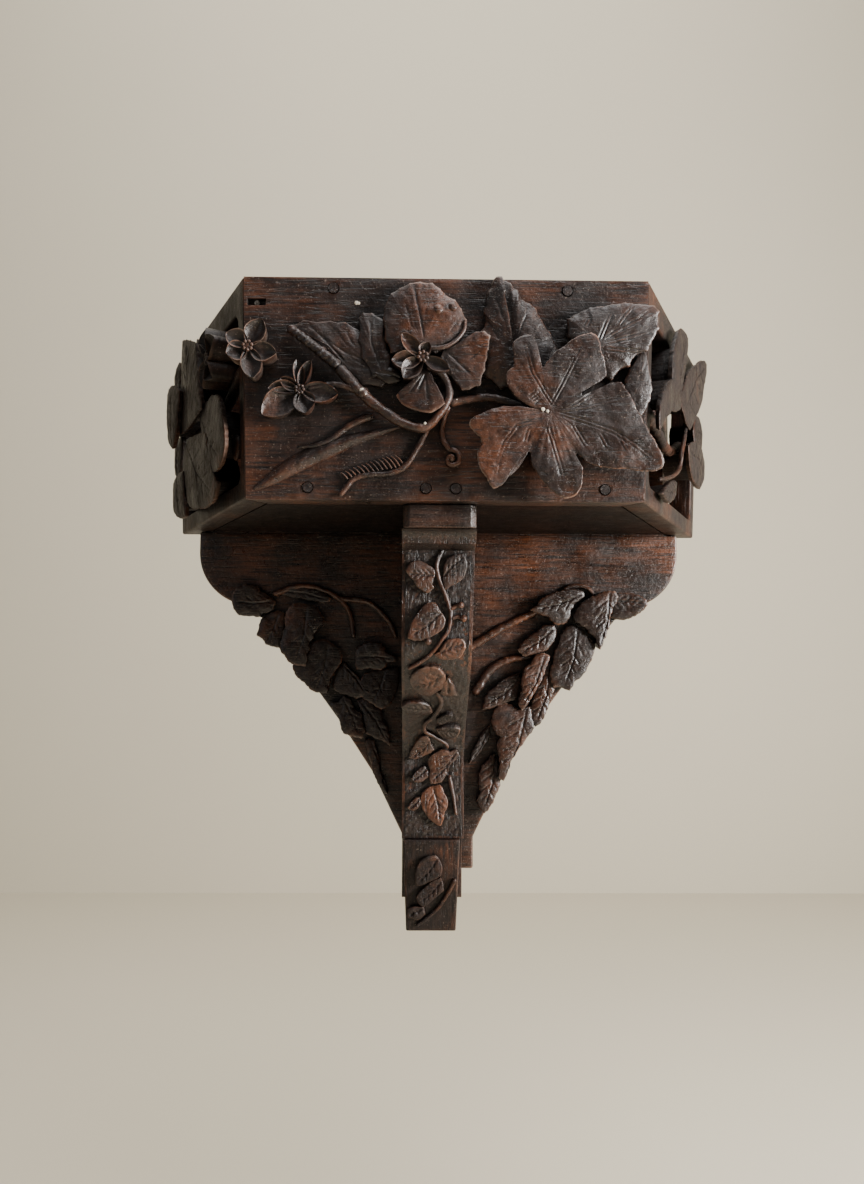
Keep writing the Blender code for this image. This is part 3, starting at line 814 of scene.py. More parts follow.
def mark(mesh: bmesh.types.BMesh, name: str, value: float) -> None:
    """Writes one value on every vertex of a form, for its material to read.

    Args:
        mesh: The form.
        name: The attribute's name.
        value: The value.
    """
    layer = mesh.verts.layers.float.get(name) or mesh.verts.layers.float.new(name)
    for vert in mesh.verts:
        vert[layer] = value


def carve(mesh: bmesh.types.BMesh, face: Face, forms: list[Form], seed: float) -> None:
    """Adds carved forms to a board.

    Args:
        mesh: The board.
        face: The face that they lie on.
        forms: The forms.
        seed: The board's own number.
    """
    mark(mesh, TONE, 0.0)
    mark(mesh, ROUND, 0.0)
    for index, form in enumerate(forms):
        shell = form.build(face, seed + index * 0.59)
        mark(shell, TONE, form.tone)
        thick = isinstance(form, Knob) or isinstance(form, Stem) and form.radius > 0.6
        mark(shell, ROUND, 1.0 if thick else 0.5)
        absorb(mesh, shell)


def absorb(mesh: bmesh.types.BMesh, other: bmesh.types.BMesh) -> None:
    """Adds another mesh's shells to a mesh, and frees the other.

    Args:
        mesh: The mesh that keeps the shells.
        other: The mesh that is used up.
    """
    block = bpy.data.meshes.new("part")
    other.to_mesh(block)
    other.free()
    mesh.from_mesh(block)
    bpy.data.meshes.remove(block)


def prism(outline: list[Point2], low: float, high: float) -> bmesh.types.BMesh:
    """Makes a solid over an outline in plan.

    Args:
        outline: The outline's points.
        low: The level of its underside.
        high: The level of its top.

    Returns:
        The mesh.
    """
    mesh = bmesh.new()
    floor = mesh.faces.new([mesh.verts.new((*point, low)) for point in outline])
    for vert in new_verts(bmesh.ops.extrude_face_region(mesh, geom=[floor])):
        vert.co.z = high
    face_outward(mesh)
    return mesh


def slab(outline: list[Point2], front: float, back: float) -> bmesh.types.BMesh:
    """Makes a solid over an outline of points across and up, between two places along Y.

    Args:
        outline: The points, in millimetres.
        front: The front's place along Y.
        back: The back's place along Y.

    Returns:
        The closed solid.
    """
    mesh = prism(outline, 0, 1)
    for vert in mesh.verts:
        vert.co = (vert.co.x, front if vert.co.z < 0.5 else back, vert.co.y)
    face_outward(mesh)
    return mesh


def arc(centre: Point2, radius: float, start: float, end: float, steps: int) -> list[Point2]:
    """Gives points along an arc, from one angle in degrees to another."""
    angles = [math.radians(start + (end - start) * step / steps) for step in range(steps + 1)]
    return [(centre[0] + radius * math.cos(angle), centre[1] + radius * math.sin(angle)) for angle in angles]


def subtract(mesh: bmesh.types.BMesh, cutters: list[bmesh.types.BMesh]) -> bmesh.types.BMesh:
    """Cuts closed meshes out of a closed mesh.

    Args:
        mesh: What is cut. It is freed.
        cutters: What is cut away. They are freed.

    Returns:
        The cut mesh.
    """
    block = bpy.data.meshes.new("board")
    mesh.to_mesh(block)
    mesh.free()
    board = bpy.data.objects.new("board", block)
    bpy.context.scene.collection.objects.link(board)
    tools = []
    for cutter in cutters:
        tool_block = bpy.data.meshes.new("cutter")
        cutter.to_mesh(tool_block)
        cutter.free()
        tool = bpy.data.objects.new("cutter", tool_block)
        bpy.context.scene.collection.objects.link(tool)
        modifier = board.modifiers.new("cut", "BOOLEAN")
        modifier.operation = "DIFFERENCE"
        modifier.solver = "EXACT"
        modifier.object = tool
        tools.append(tool)
    graph = bpy.context.evaluated_depsgraph_get()
    result = bmesh.new()
    result.from_mesh(bpy.data.meshes.new_from_object(board.evaluated_get(graph), depsgraph=graph))
    for used in [board] + tools:
        bpy.data.objects.remove(used)
    return result


def score(mesh: bmesh.types.BMesh, axis: int, pitch: float) -> None:
    """Divides a board's faces into strips, so that they can carry hand work and wear.

    Args:
        mesh: The board.
        axis: The axis that the strips are set out along.
        pitch: Their width.
    """
    places = [vert.co[axis] for vert in mesh.verts]
    low, high = min(places), max(places)
    normal = Vector((axis == 0, axis == 1, axis == 2))
    steps = max(1, round((high - low) / pitch))
    for step in range(1, steps):
        geometry = list(mesh.verts) + list(mesh.edges) + list(mesh.faces)
        bmesh.ops.bisect_plane(mesh, geom=geometry, dist=0.02,
                               plane_co=normal * (low + (high - low) * step / steps), plane_no=normal)


def soften(mesh: bmesh.types.BMesh, width: float, segments: int = 3, sharp: float = 35.0) -> None:
    """Rounds a board's arrises, as handling does.

    Args:
        mesh: The board.
        width: The width of the rounding.
        segments: The steps across it.
        sharp: The least angle in degrees that is rounded.
    """
    edges = [edge for edge in mesh.edges
             if len(edge.link_faces) == 2 and edge.calc_face_angle(0.0) > math.radians(sharp)]
    bmesh.ops.bevel(mesh, geom=edges, offset=width, offset_type="OFFSET", segments=segments, profile=0.5,
                    affect="EDGES", clamp_overlap=True, material=-1)


def mark_wear_and_shading(block: bpy.types.Mesh) -> None:
    """Marks how convex the surface is at each point. The material reads it for the stain taken off high
    places by hands and dusters, for painted highlights along edges and for painted shade in hollows and
    creases.

    Args:
        block: The finished mesh.
    """
    count = len(block.vertices)
    places = np.empty(count * 3, np.float32)
    normals = np.empty(count * 3, np.float32)
    ends = np.empty(len(block.edges) * 2, np.int32)
    block.vertices.foreach_get("co", places)
    block.vertices.foreach_get("normal", normals)
    block.edges.foreach_get("vertices", ends)
    places, normals, ends = places.reshape(-1, 3), normals.reshape(-1, 3), ends.reshape(-1, 2)
    step = places[ends[:, 1]] - places[ends[:, 0]]
    length = np.maximum(np.linalg.norm(step, axis=1), 1e-9)
    step = step / length[:, None]
    total, times = np.zeros(count), np.zeros(count)
    for here, way in ((0, 1.0), (1, -1.0)):
        np.add.at(total, ends[:, here], -way * np.einsum("ij,ij->i", step, normals[ends[:, here]]))
        np.add.at(times, ends[:, here], 1)
    bend = total / np.maximum(times, 1)
    spread, share = np.zeros(count), np.zeros(count)
    np.add.at(spread, ends[:, 0], bend[ends[:, 1]])
    np.add.at(spread, ends[:, 1], bend[ends[:, 0]])
    np.add.at(share, ends.ravel(), 1)
    wear_and_shade_mask = 0.6 * bend + 0.4 * spread / np.maximum(share, 1)
    if ROUND in block.attributes:
        tube = np.empty(count, np.float32)
        block.attributes[ROUND].data.foreach_get("value", tube)
        wear_and_shade_mask = wear_and_shade_mask * (1 - 0.75 * np.clip(tube * 2 - 1, 0, 1)) * (1 - 0.35 * np.clip(tube * 2, 0, 1))
    layer = block.attributes.new(WEAR_AND_PAINTED_LIGHT, "FLOAT", "POINT")
    layer.data.foreach_set("value", np.clip(0.5 + wear_and_shade_mask * 1.6, 0, 1).astype(np.float32))


@dataclass(frozen=True)
class WoodFinish:
    """Dark stained and waxed wood, gone a warmer brown on its high places through handling, with painted
    highlights on its edges and painted shade in its hollows and corners.
    """

    name: str
    grain: Grain
    deep: Colour = (0.005, 0.003, 0.0025)
    body: Colour = (0.026, 0.0132, 0.0095)
    warm: Colour = (0.14, 0.044, 0.016)
    rubbed_and_highlight: Colour = (0.32, 0.25, 0.2)
    warmth: float = 0.5
    gloss: float = 0.4
    wear_and_painted_light: float = 1.0
    shine: float = 0.45
    carved: bool = True

    def material(self) -> bpy.types.Material:
        """Makes the node material.

        Returns:
            The material, on Object coordinates and the piece's own convexity attribute, which sets its
            handled high places, its painted highlights and its painted shade.
        """
        paint = Paint(self.name)
        stretch = [1.0, 1.0, 1.0]
        stretch[self.grain.value] = 0.06
        place = paint.mapping(tuple(stretch))
        plain = paint.coordinates()
        patches = paint.noise(plain, 24, 5, 0.6)
        tone = paint.attribute(TONE)
        spread = paint.add(patches, paint.multiply(tone, 0.16))
        warm_spread = paint.ramp(spread, 0.57 - 0.2 * self.warmth, 0.8 - 0.2 * self.warmth)
        streaks = paint.noise(place, 700, 6, 0.7)
        pores = paint.ramp(paint.noise(place, 1300, 2, 0.5), 0.6, 0.68)
        grain = paint.ramp(streaks, 0.36, 0.66)
        if self.carved:
            leafy = paint.ramp(paint.attribute(ROUND), 0.0, 0.5)
            mottle = paint.span(paint.noise(plain, 260, 6, 0.7), 0.3, 0.7, 0.1, 1.0)
            grain = paint.blend(leafy, grain, mottle)
        base = paint.mix(grain, self.deep, self.body)
        base = paint.mix(paint.multiply(warm_spread, grain), base, self.warm)
        base = paint.mix(paint.multiply(pores, 0.75), base, self.deep)
        if self.carved:
            wear_and_shade_mask = paint.attribute(WEAR_AND_PAINTED_LIGHT)
            rubs = paint.ramp(paint.noise(plain, 45, 4, 0.6), 0.42, 0.62)
            high = paint.multiply(paint.multiply(paint.ramp(wear_and_shade_mask, 0.55, 0.72), 0.85 * self.wear_and_painted_light), rubs)
            base = paint.mix(paint.multiply(high, paint.ramp(streaks, 0.3, 0.6)), base, self.warm)
            # Pale rubbed colour on the most convex places: partly stain worn off, partly a painted highlight
            # along edges and rims.
            rubbed_and_highlight = paint.multiply(paint.ramp(wear_and_shade_mask, 0.62, 0.85), paint.ramp(patches, 0.4, 0.64))
            base = paint.mix(paint.multiply(rubbed_and_highlight, 0.5 * self.wear_and_painted_light), base, self.rubbed_and_highlight)
            # Painted shade: concave hollows and creases are darkened towards the deep colour.
            base = paint.mix(paint.multiply(paint.ramp(wear_and_shade_mask, 0.47, 0.38), 0.8), base, self.deep)
        # Painted shade: corners, creases and places under and between the forms are darkened by ambient
        # occlusion towards the deep colour.
        shade = paint.occlusion(0.008)
        base = paint.mix(paint.ramp(shade, 0.85, 0.35), base, self.deep)
        specks = paint.ramp(paint.noise(plain, 1100, 3, 0.6), 0.63, 0.71)
        base = paint.mix(paint.multiply(specks, 0.4), base, self.rubbed_and_highlight)
        base = paint.mix(paint.ramp(tone, CHIP - 1, CHIP), base, (0.62, 0.55, 0.45))
        rough = paint.span(paint.noise(plain, 70, 5, 0.65), 0.3, 0.7, self.gloss - 0.16, self.gloss + 0.18)
        bump = paint.add(paint.multiply(streaks, 0.8), paint.multiply(pores, -0.6))
        bump = paint.add(bump, paint.multiply(paint.noise(plain, 420, 4, 0.65), 1.3))
        paint.shader.inputs["Specular IOR Level"].default_value = self.shine
        paint.shader.inputs["Coat Weight"].default_value = 0.3 * self.shine
        paint.shader.inputs["Coat Roughness"].default_value = 0.3
        return paint.finish(base, rough, bump, 0.0003)


class Paint:
    """A Principled material, built up node by node."""

    def __init__(self, name: str) -> None:
        """Starts a material.

        Args:
            name: The material's name.
        """
        self.result = bpy.data.materials.new(name)
        self.result.use_nodes = True
        self.tree = self.result.node_tree
        self.shader = self.tree.nodes["Principled BSDF"]
        self.object_space = self.tree.nodes.new("ShaderNodeTexCoord").outputs["Object"]

    def coordinates(self) -> bpy.types.NodeSocket:
        """Gives the piece's own coordinates, in metres."""
        return self.object_space

    def mapping(self, scale: tuple[float, ...]) -> bpy.types.NodeSocket:
        """Gives the coordinates stretched along each axis.

        Args:
            scale: How much each axis is stretched.

        Returns:
            The stretched coordinates.
        """
        node = self.tree.nodes.new("ShaderNodeMapping")
        node.inputs["Scale"].default_value = scale
        self.tree.links.new(self.object_space, node.inputs["Vector"])
        return node.outputs["Vector"]

    def noise(self, place: bpy.types.NodeSocket, scale: float, detail: float,
              rough: float) -> bpy.types.NodeSocket:
        """Gives a noise pattern.

        Args:
            place: The coordinates that it is on.
            scale: How many ripples a metre holds.
            detail: How many finer layers it has.
            rough: How strong those layers are.

        Returns:
            The pattern, about 0.5 on average.
        """
        node = self.tree.nodes.new("ShaderNodeTexNoise")
        node.inputs["Scale"].default_value = scale
        node.inputs["Detail"].default_value = detail
        node.inputs["Roughness"].default_value = rough
        self.tree.links.new(place, node.inputs["Vector"])
        return node.outputs["Fac"]

    def attribute(self, name: str) -> bpy.types.NodeSocket:
        """Gives a value that the mesh carries.

        Args:
            name: The attribute's name.

        Returns:
            Its value.
        """
        node = self.tree.nodes.new("ShaderNodeAttribute")
        node.attribute_name = name
        return node.outputs["Fac"]

    def occlusion(self, distance: float) -> bpy.types.NodeSocket:
        """Gives how open the surface is, from 0 in a deep corner to 1.

        Args:
            distance: How far it looks, in metres.

        Returns:
            The openness.
        """
        node = self.tree.nodes.new("ShaderNodeAmbientOcclusion")
        node.samples = 4
        node.inputs["Distance"].default_value = distance
        return node.outputs["AO"]

    def span(self, value: bpy.types.NodeSocket, low: float, high: float, start: float,
             end: float) -> bpy.types.NodeSocket:
        """Maps low to start and high to end.

        Args:
            value: The value.
            low: The value that becomes start.
            high: The value that becomes end.
            start: The first result.
            end: The last result.

        Returns:
            The mapped value.
        """
        node = self.tree.nodes.new("ShaderNodeMapRange")
        for name, number in (("From Min", low), ("From Max", high), ("To Min", start), ("To Max", end)):
            node.inputs[name].default_value = number
        self.tree.links.new(value, node.inputs["Value"])
        return node.outputs["Result"]

    def ramp(self, value: bpy.types.NodeSocket, low: float, high: float) -> bpy.types.NodeSocket:
        """Maps low to 0 and high to 1."""
        return self.span(value, low, high, 0.0, 1.0)

    def math(self, kind: str, a: bpy.types.NodeSocket,
             b: bpy.types.NodeSocket | float) -> bpy.types.NodeSocket:
        """Gives a sum or a product.

        Args:
            kind: Blender's name for the step.
            a: The first value.
            b: The second value.

        Returns:
            The result.
        """
        node = self.tree.nodes.new("ShaderNodeMath")
        node.operation = kind
        self.tree.links.new(a, node.inputs[0])
        if isinstance(b, bpy.types.NodeSocket):
            self.tree.links.new(b, node.inputs[1])
        else:
            node.inputs[1].default_value = b
        return node.outputs[0]

    def blend(self, share: bpy.types.NodeSocket, low: bpy.types.NodeSocket, high: bpy.types.NodeSocket
              ) -> bpy.types.NodeSocket:
        """Mixes two values, by the second one's share.

        Args:
            share: How much of the second value is taken.
            low: The first value.
            high: The second value.

        Returns:
            The mixed value.
        """
        node = self.tree.nodes.new("ShaderNodeMix")
        for socket, value in zip((0, 2, 3), (share, low, high)):
            self.tree.links.new(value, node.inputs[socket])
        return node.outputs[0]

    def multiply(self, a: bpy.types.NodeSocket, b: bpy.types.NodeSocket | float) -> bpy.types.NodeSocket:
        """Gives a product."""
        return self.math("MULTIPLY", a, b)

    def add(self, a: bpy.types.NodeSocket, b: bpy.types.NodeSocket | float) -> bpy.types.NodeSocket:
        """Gives a sum."""
        return self.math("ADD", a, b)

    def mix(self, share: bpy.types.NodeSocket, low: object, high: object) -> bpy.types.NodeSocket:
        """Mixes two colours.

        Args:
            share: The second colour's share.
            low: The first colour, as a socket or as red, green and blue.
            high: The second colour.

        Returns:
            The mixed colour.
        """
        node = self.tree.nodes.new("ShaderNodeMix")
        node.data_type = "RGBA"
        node.clamp_factor = True
        self.tree.links.new(share, node.inputs[0])
        for colour, socket in ((low, node.inputs[6]), (high, node.inputs[7])):
            if isinstance(colour, tuple):
                socket.default_value = (*colour, 1.0)
            else:
                self.tree.links.new(colour, socket)
        return node.outputs[2]

    def finish(self, colour: object, rough: object, bump: object, depth: float,
               metallic: float = 0.0) -> bpy.types.Material:
        """Joins colour, roughness and bump to the shader.

        Args:
            colour: The colour's socket.
            rough: The roughness's socket.
            bump: The bump's socket.
            depth: The bump's depth in metres.
            metallic: The metallic value.

        Returns:
            The material.
        """
        node = self.tree.nodes.new("ShaderNodeBump")
        node.inputs["Strength"].default_value = 1.0
        node.inputs["Distance"].default_value = depth
        self.tree.links.new(bump, node.inputs["Height"])
        self.tree.links.new(node.outputs["Normal"], self.shader.inputs["Normal"])
        self.tree.links.new(colour, self.shader.inputs["Base Color"])
        self.tree.links.new(rough, self.shader.inputs["Roughness"])
        self.shader.inputs["Metallic"].default_value = metallic
        return self.result


class Workshop:
    """Turns meshes into pieces of the object."""

    def __init__(self) -> None:
        """Starts with no pieces."""
        self.pieces: list[bpy.types.Object] = []

    def deliver(self, name: str, mesh: bmesh.types.BMesh, material: bpy.types.Material, slot: str,
                *nodes: str) -> None:
        """Makes a piece from a mesh in millimetres and puts it in place of its solids.

        Args:
            name: The piece's name.
            mesh: The mesh. It is freed.
            material: The piece's finish.
            slot: The record's slot that the finish belongs to. It is not used.
            nodes: The solids that it stands for.
        """
        bmesh.ops.scale(mesh, verts=mesh.verts, vec=(MM, MM, MM))
        bmesh.ops.triangulate(mesh, faces=[face for face in mesh.faces if len(face.verts) > 4])
        block = bpy.data.meshes.new(name)
        mesh.to_mesh(block)
        mesh.free()
        for polygon in block.polygons:
            polygon.use_smooth = True
        block.set_sharp_from_angle(angle=math.radians(50))
        mark_wear_and_shading(block)
        block.materials.append(material)
        piece = bpy.data.objects.new(name, block)
        bpy.context.scene.collection.objects.link(piece)
        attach(piece, "root")
        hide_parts(*nodes)
        self.pieces.append(piece)
        triangles = sum(len(polygon.vertices) - 2 for polygon in block.polygons)
        log.info("%s: %d triangles", name, triangles)


VINE_LEAF: Rim = ((185, 6.1), (174, 11), (174, 17.8), (177, 24.4), (182, 30.4), (186, 35.5), (190, 36.4),
                  (196, 34.8), (201, 33.1), (206, 33.7), (209, 36.7), (214, 39.1), (220, 40.1),
                  (226, 40.8), (231, 42.4), (234, 42.4), (237, 38.6), (237, 34.6), (240, 30.2),
                  (241, 25.6), (238, 22.2), (239, 20), (245, 20.4), (251, 25), (258, 28.4), (265, 32.2),
                  (272, 35.7), (279, 38.8), (286, 38.8), (290, 37.3), (294, 33.5), (299, 28.9),
                  (297, 24.8), (297, 21.8), (302, 21.9), (304, 25.2), (308, 29.7), (315, 34.5),
                  (324, 42.4), (330, 52.1), (333, 54.9), (336, 54.7), (342, 49.6), (348, 44.5),
                  (354, 41.2), (3, 37.5), (10, 36), (17, 34.5), (23, 33.8), (26, 29.9), (24, 26.1),
                  (23, 21.4), (25, 17.5), (27, 15.4), (34, 16.3), (34, 20.7), (32, 25.3), (34, 29.6),
                  (41, 31.9), (51, 34.9), (58, 39.2), (63, 39.6), (70, 35.8), (78, 29.9), (89, 24.3),
                  (99, 20.2), (103, 19.9), (102, 26.1), (104, 35.2), (110, 35.9), (118, 35), (121, 33.3),
                  (124, 29.1), (130, 25.8), (138, 26.1), (145, 24.1), (151, 20.9), (160, 14.9), (170, 8.6))
VINE_VEINS: tuple[Vein, ...] = (
    ((1.3, 2.2), (-3.6, 9.5), (-7.9, 16.9), (-10.4, 25.4), (-11.3, 30.1)),
    ((0.7, 3.4), (4.9, 10.8), (9.8, 20.7), (15.9, 31.9)),
    ((-6.7, -4.6), (-14.6, -6.5), (-20, -13.9), (-23.1, -22.5), (-24.5, -30.4)),
    ((-1.8, -6.4), (0.7, -13.7), (3.7, -23.5), (5.8, -31.4)),
    ((3.7, -1.4), (14.7, -4.4), (26.9, -8.6), (36.7, -14.6), (47.1, -23.1)),
    ((3.7, 0), (14.7, 1.4), (24.5, 3.9), (34.3, 6)),
    ((-9.7, -8.3), (-11.1, -14.1)),
    ((9.8, -6), (15.6, -15.7)),
    ((21.4, -9.6), (25, -16.2)),
    ((-6.1, 8.3), (-10, 5.5)),
    ((-4.6, 6.1), (-8, 3.4)),
    ((-12.2, 10.7), (-15.2, 9.2)),
    ((29.4, -9.2), (33.7, -17.7)),
    ((8.6, 1.1), (19.6, 8.5)),
    ((12.3, 22), (17.2, 22)),
    ((8, 17), (12.3, 15.2)),
)
REAR_LEAF: Rim = ((143, 17.9), (131, 16.5), (116, 16.1), (104, 16.3), (87, 16.7), (72, 18.7), (57, 21.6),
                  (44, 25.6), (34, 30.4), (28, 31.1), (21, 28.8), (14, 28.2), (5, 25.2), (351, 22.2),
                  (346, 19), (335, 16.8), (323, 17.5), (312, 15.5), (289, 18), (263, 14.9), (215, 10.3),
                  (168, 14.1))
REAR_VEINS: tuple[Vein, ...] = (
    ((0, 0), (3.2, 7.7), (5.9, 13.6)), ((8.5, 7.3), (12.6, 12.8), (16.6, 17.8)),
    ((0.9, 0.5), (9.4, 5.5), (18.4, 10.2), (25.2, 15.6)), ((-6.2, 6.3), (-4, 10.8)),
    ((2.7, -3.5), (11.7, -4.3), (20.6, -3.3)), ((1.8, -1.3), (13.9, 2), (25.1, 5.7)),
)
FOLDED_LEAF: Rim = ((184, 16.5), (151, 18), (132, 19), (128, 22.6), (119, 27.1), (115, 29.7), (107, 33.8),
                    (104, 34.7), (98, 34.5), (93, 32), (87, 28.4), (83, 24.6), (73, 23.6), (64, 22.6),
                    (54, 19.7), (29, 19), (4, 20.2), (336, 22), (308, 18.2), (249, 18), (214, 17.8))
FOLDED_VEINS: tuple[Vein, ...] = (((6.7, 21.2), (2.2, 8.1)), ((-8.1, 22.4), (-5.4, 13.4)),
                                  ((-12.6, 14.2), (-6.7, 4.4)))
FOLD_LINE: Vein = ((-5.5, 34), (-3.2, 18), (-1.3, 4.4), (0, -8))
FLAT_LEAF: Rim = ((151, 43.4), (144, 40.2), (131, 31), (121, 26.3), (112, 21.3), (90, 13.6), (47, 9.9),
                  (353, 9.5), (296, 7.4), (225, 8.3), (175, 14.4), (156, 27.1))
FLAT_VEINS: tuple[Vein, ...] = (
    ((-31.1, 22.7), (-20.3, 12), (-13.5, 4.4)), ((-24.8, 16.5), (-13.5, 8.9), (-2.3, 4.5)),
    ((-17.6, 18.8), (-12.2, 11.2)), ((-13.2, 18.9), (-10, 12.1)),
)
SECOND_LEAF: Rim = ((135, 12.7), (115, 20.8), (109, 22.9), (97, 21.9), (81, 18.4), (69, 9.7), (17, 6.6),
                    (307, 8.9), (252, 8.5), (173, 7.3))
SECOND_VEINS: tuple[Vein, ...] = (((-3.7, 18.1), (-2.7, 6.8), (1.8, -5.4)),)
ROUND_LEAF: Rim = ((226, 4.5), (197, 10.7), (193, 15), (169, 17.2), (147, 21.8), (135, 24.6), (125, 26.7),
                   (121, 27.7), (112, 28.4), (102, 29.3), (93, 29.2), (82, 29), (74, 27.2), (65, 25.4),
                   (56, 25.5), (45, 24.5), (32, 23.1), (20, 20.3), (9, 16.2), (354, 11.2), (329, 6.8))
ROUND_VEINS: tuple[Vein, ...] = (
    ((0.4, 3.2), (-1.9, 15.7), (-4.6, 28.7)), ((0.4, 13.5), (3, 20.3), (6.1, 25.3)),
    ((-1.5, 23.8), (0.3, 27.9)), ((-8.1, 20.1), (-4.9, 6.7)), ((12, 6), (16.4, 12.3)),
)
FLAG_LEAF: Rim = ((90, 1.4), (43, 5.4), (28, 9.7), (27, 13.4), (34, 17.8), (29, 20.8), (21, 22.3), (7, 20.7),
                  (354, 19.7), (339, 20.2), (320, 21.8), (307, 20.1), (298, 18.6), (293, 13.6), (277, 8.6),
                  (237, 4.8))
FLAG_VEINS: tuple[Vein, ...] = (
    ((2.2, 0.5), (8.5, -5.7), (13.9, -11)), ((12.1, -3), (17.4, 1.6)), ((4, 2.3), (12, 3.7)),
)
SKIRT_LEAF: Rim = ((224, 8.6), (221, 12.3), (222, 17.3), (232, 17.8), (246, 18.6), (261, 18.5), (277, 19.3),
                   (288, 18.3), (301, 17.5), (304, 12.8), (307, 6.6), (0, 1.7), (150, 1.5), (202, 2.4))
SKIRT_VEINS: tuple[Vein, ...] = (
    ((0, -2.2), (-3.1, -9.8)), ((0, -2.7), (1.4, -14.3)), ((-1.8, -3.6), (-7.5, -10.8)),
)


@dataclass
class FrontApron:
    """The board across the front of the box, with its vine."""

    sizes: BracketSizes
    slot_length: float = 8.4
    slot_height: float = 3.2
    slot_depth: float = 3.0
    pin_inset: float = 4.0
    pin_drop: float = 11.5
    peg_radius: float = 2.3
    pegs: tuple[tuple[float, bool], ...] = ((-0.57, True), (0.61, True), (-0.69, False), (-0.10, False),
                                            (0.05, False), (0.80, False))

    def forms(self) -> list[Form]:
        """Gives the carved forms, from the board up.

        Returns:
            The forms.
        """
        return [
            LobedLeaf((-32.1, 57.1), FLAT_LEAF, 3.2, 2.2, FLAT_VEINS, thickness=1.4, undercut=0.02,
                      tooth=0.15),
            LobedLeaf((-30.8, 62.4), SECOND_LEAF, 4.4, 3.4, SECOND_VEINS, thickness=1.6, undercut=0.02,
                      tooth=0.2),
            Leaf((84, 36), 82, 32, 13, 6.6, 5.4, tooth=0.08, veins=3, vein_depth=0.2, tone=-0.6),
            LobedLeaf((67.8, 70.4), REAR_LEAF, 8.0, 6.4, REAR_VEINS, paired=True, tone=-0.3),
            LobedLeaf((30.4, 66.6), FOLDED_LEAF, 6.2, 3.2, FOLDED_VEINS, FOLD_LINE, tooth=0.4, tone=-0.2),
            LobedLeaf((-10.7, 68.2), ROUND_LEAF, 7.6, 5.6, ROUND_VEINS, tooth=0.3),
            LobedLeaf((-1.8, 64.7), FLAG_LEAF, 7.0, 6.6, FLAG_VEINS, tilt=(0.06, 0.0), tooth=0.35,
                      undercut=0.14),
            LobedLeaf((-9.7, 57), SKIRT_LEAF, 7.2, 6.8, SKIRT_VEINS, tilt=(0.0, -0.07), tooth=0.3,
                      undercut=0.14),
            Leaf((-20, 54), 168, 14, 8, 4.2, 3.4, veins=0),
            Leaf((-86, 4.4), 23.5, 72, 8.5, 2.6, 0.1, point=0.7, tooth=0.0, veins=0, vein_depth=0.0,
                 thickness=0.4, undercut=0.0),
            Stem(((-71, 77, 3.0), (-65, 72, 4.5), (-59, 67.5, 5.0), (-54, 63.5, 5.0), (-48, 58.5, 5.0)),
                 1.8, 2.3, 6, binding=0.17, pitch=2.8),
            Stem(((-49, 59, 5.0), (-43, 52.5), (-37.5, 46.5), (-27.4, 38.5), (-18, 33), (-10, 31.5),
                  (-5, 35.5), (-1.5, 40.5), (1, 46), (0.2, 52), (-3.4, 56.5, 6.5), (-9.4, 59, 7)),
                 2.6, 1.6, 5.3),
            Stem(((-37.5, 46.5), (-44, 49.5), (-52, 50.5), (-62, 48.5)), 1.7, 1.2, 5.5),
            Stem(((-33, 38), (-38, 36, 1.2), (-43.7, 33), (-51.5, 27.3), (-58, 24.5), (-67, 23.5, -0.6)),
                 1.8, 1.0, 0.9),
            Stem(((-6, 35, 4), (-8.4, 32, 2.4), (-12, 25), (-18, 15.5), (-25.2, 12), (-35.8, 11), (-41.5, 9),
                  (-44.5, 5.5), (-47.6, 1.5)), 1.5, 1.2, 1.3),
            Stem(((1, 42, 4), (-1, 37, 2.6), (-2, 32), (-1.2, 27), (1.5, 22.5)), 1.3, 1.1, 1.6),
            Stem(((1, 43, 4), (9, 45), (20, 46), (32, 42, 6), (43, 37.5, 8)), 1.9, 1.6, 3.4),
            Knob((-37.3, 46.8), 2.7, 5.4),
            LobedLeaf((45.6, 37.7), VINE_LEAF, 13.2, 12.6, VINE_VEINS, tooth=0.55, pitch=2.2, spacing=0.8,
                      undercut=0.3, hollow=True, paired=True, vein_depth=0.26, stroke=0.16, tone=0.1),
        ]

    def chips(self) -> list[Form]:
        """Gives the places where the stain has chipped off.

        Returns:
            A flat bead for each place.
        """
        spots = ((-37.6, 47.4, 7.5, 1.2), (-36.5, 46.2, 7.4, 0.9), (4.6, 44.2, 5.2, 0.6),
                 (-40.9, 89.5, 0.1, 0.9), (-39.9, 89.3, 0.1, 0.7), (-9.6, 33.2, 7.2, 0.6),
                 (42, 38.4, 13.1, 0.9), (44, 37.6, 13.1, 0.7), (82.5, 39.3, 12.6, 0.5))
        return [Knob((x, y), size, level, 0.35, CHIP) for x, y, level, size in spots]

    def blossoms(self) -> list[Form]:
        """Gives the blossoms and buds.

        Returns:
            The forms.
        """
        return [
            Blossom((-10.7, 62), ((132, 14, 6), (187, 14, 7.5), (228, 13, 7.5), (-25, 13, 5.5), (70, 7, 5)),
                    8.6, heart=2.1),
            Blossom((-88, 66.2), ((62, 13.5, 8.5), (-14, 13, 8), (-80, 14.5, 9), (200, 10, 8),
                                  (150, 11, 7.5)),
                    8.0, heart=2.0, tone=-0.6),
            Blossom((-65.2, 47.8), ((214, 20, 11), (-76, 11, 9), (-6, 17, 8.5), (97, 13.5, 4.5),
                                    (70, 14, 4.5), (150, 10, 5), (178, 14, 5.5)), 5.5, heart=1.8),
            Knob((-4.1, 84.1), 2.6, 6.4, 0.8),
            Knob((2.5, 85.5), 2.2, 6.4, 0.8),
        ]

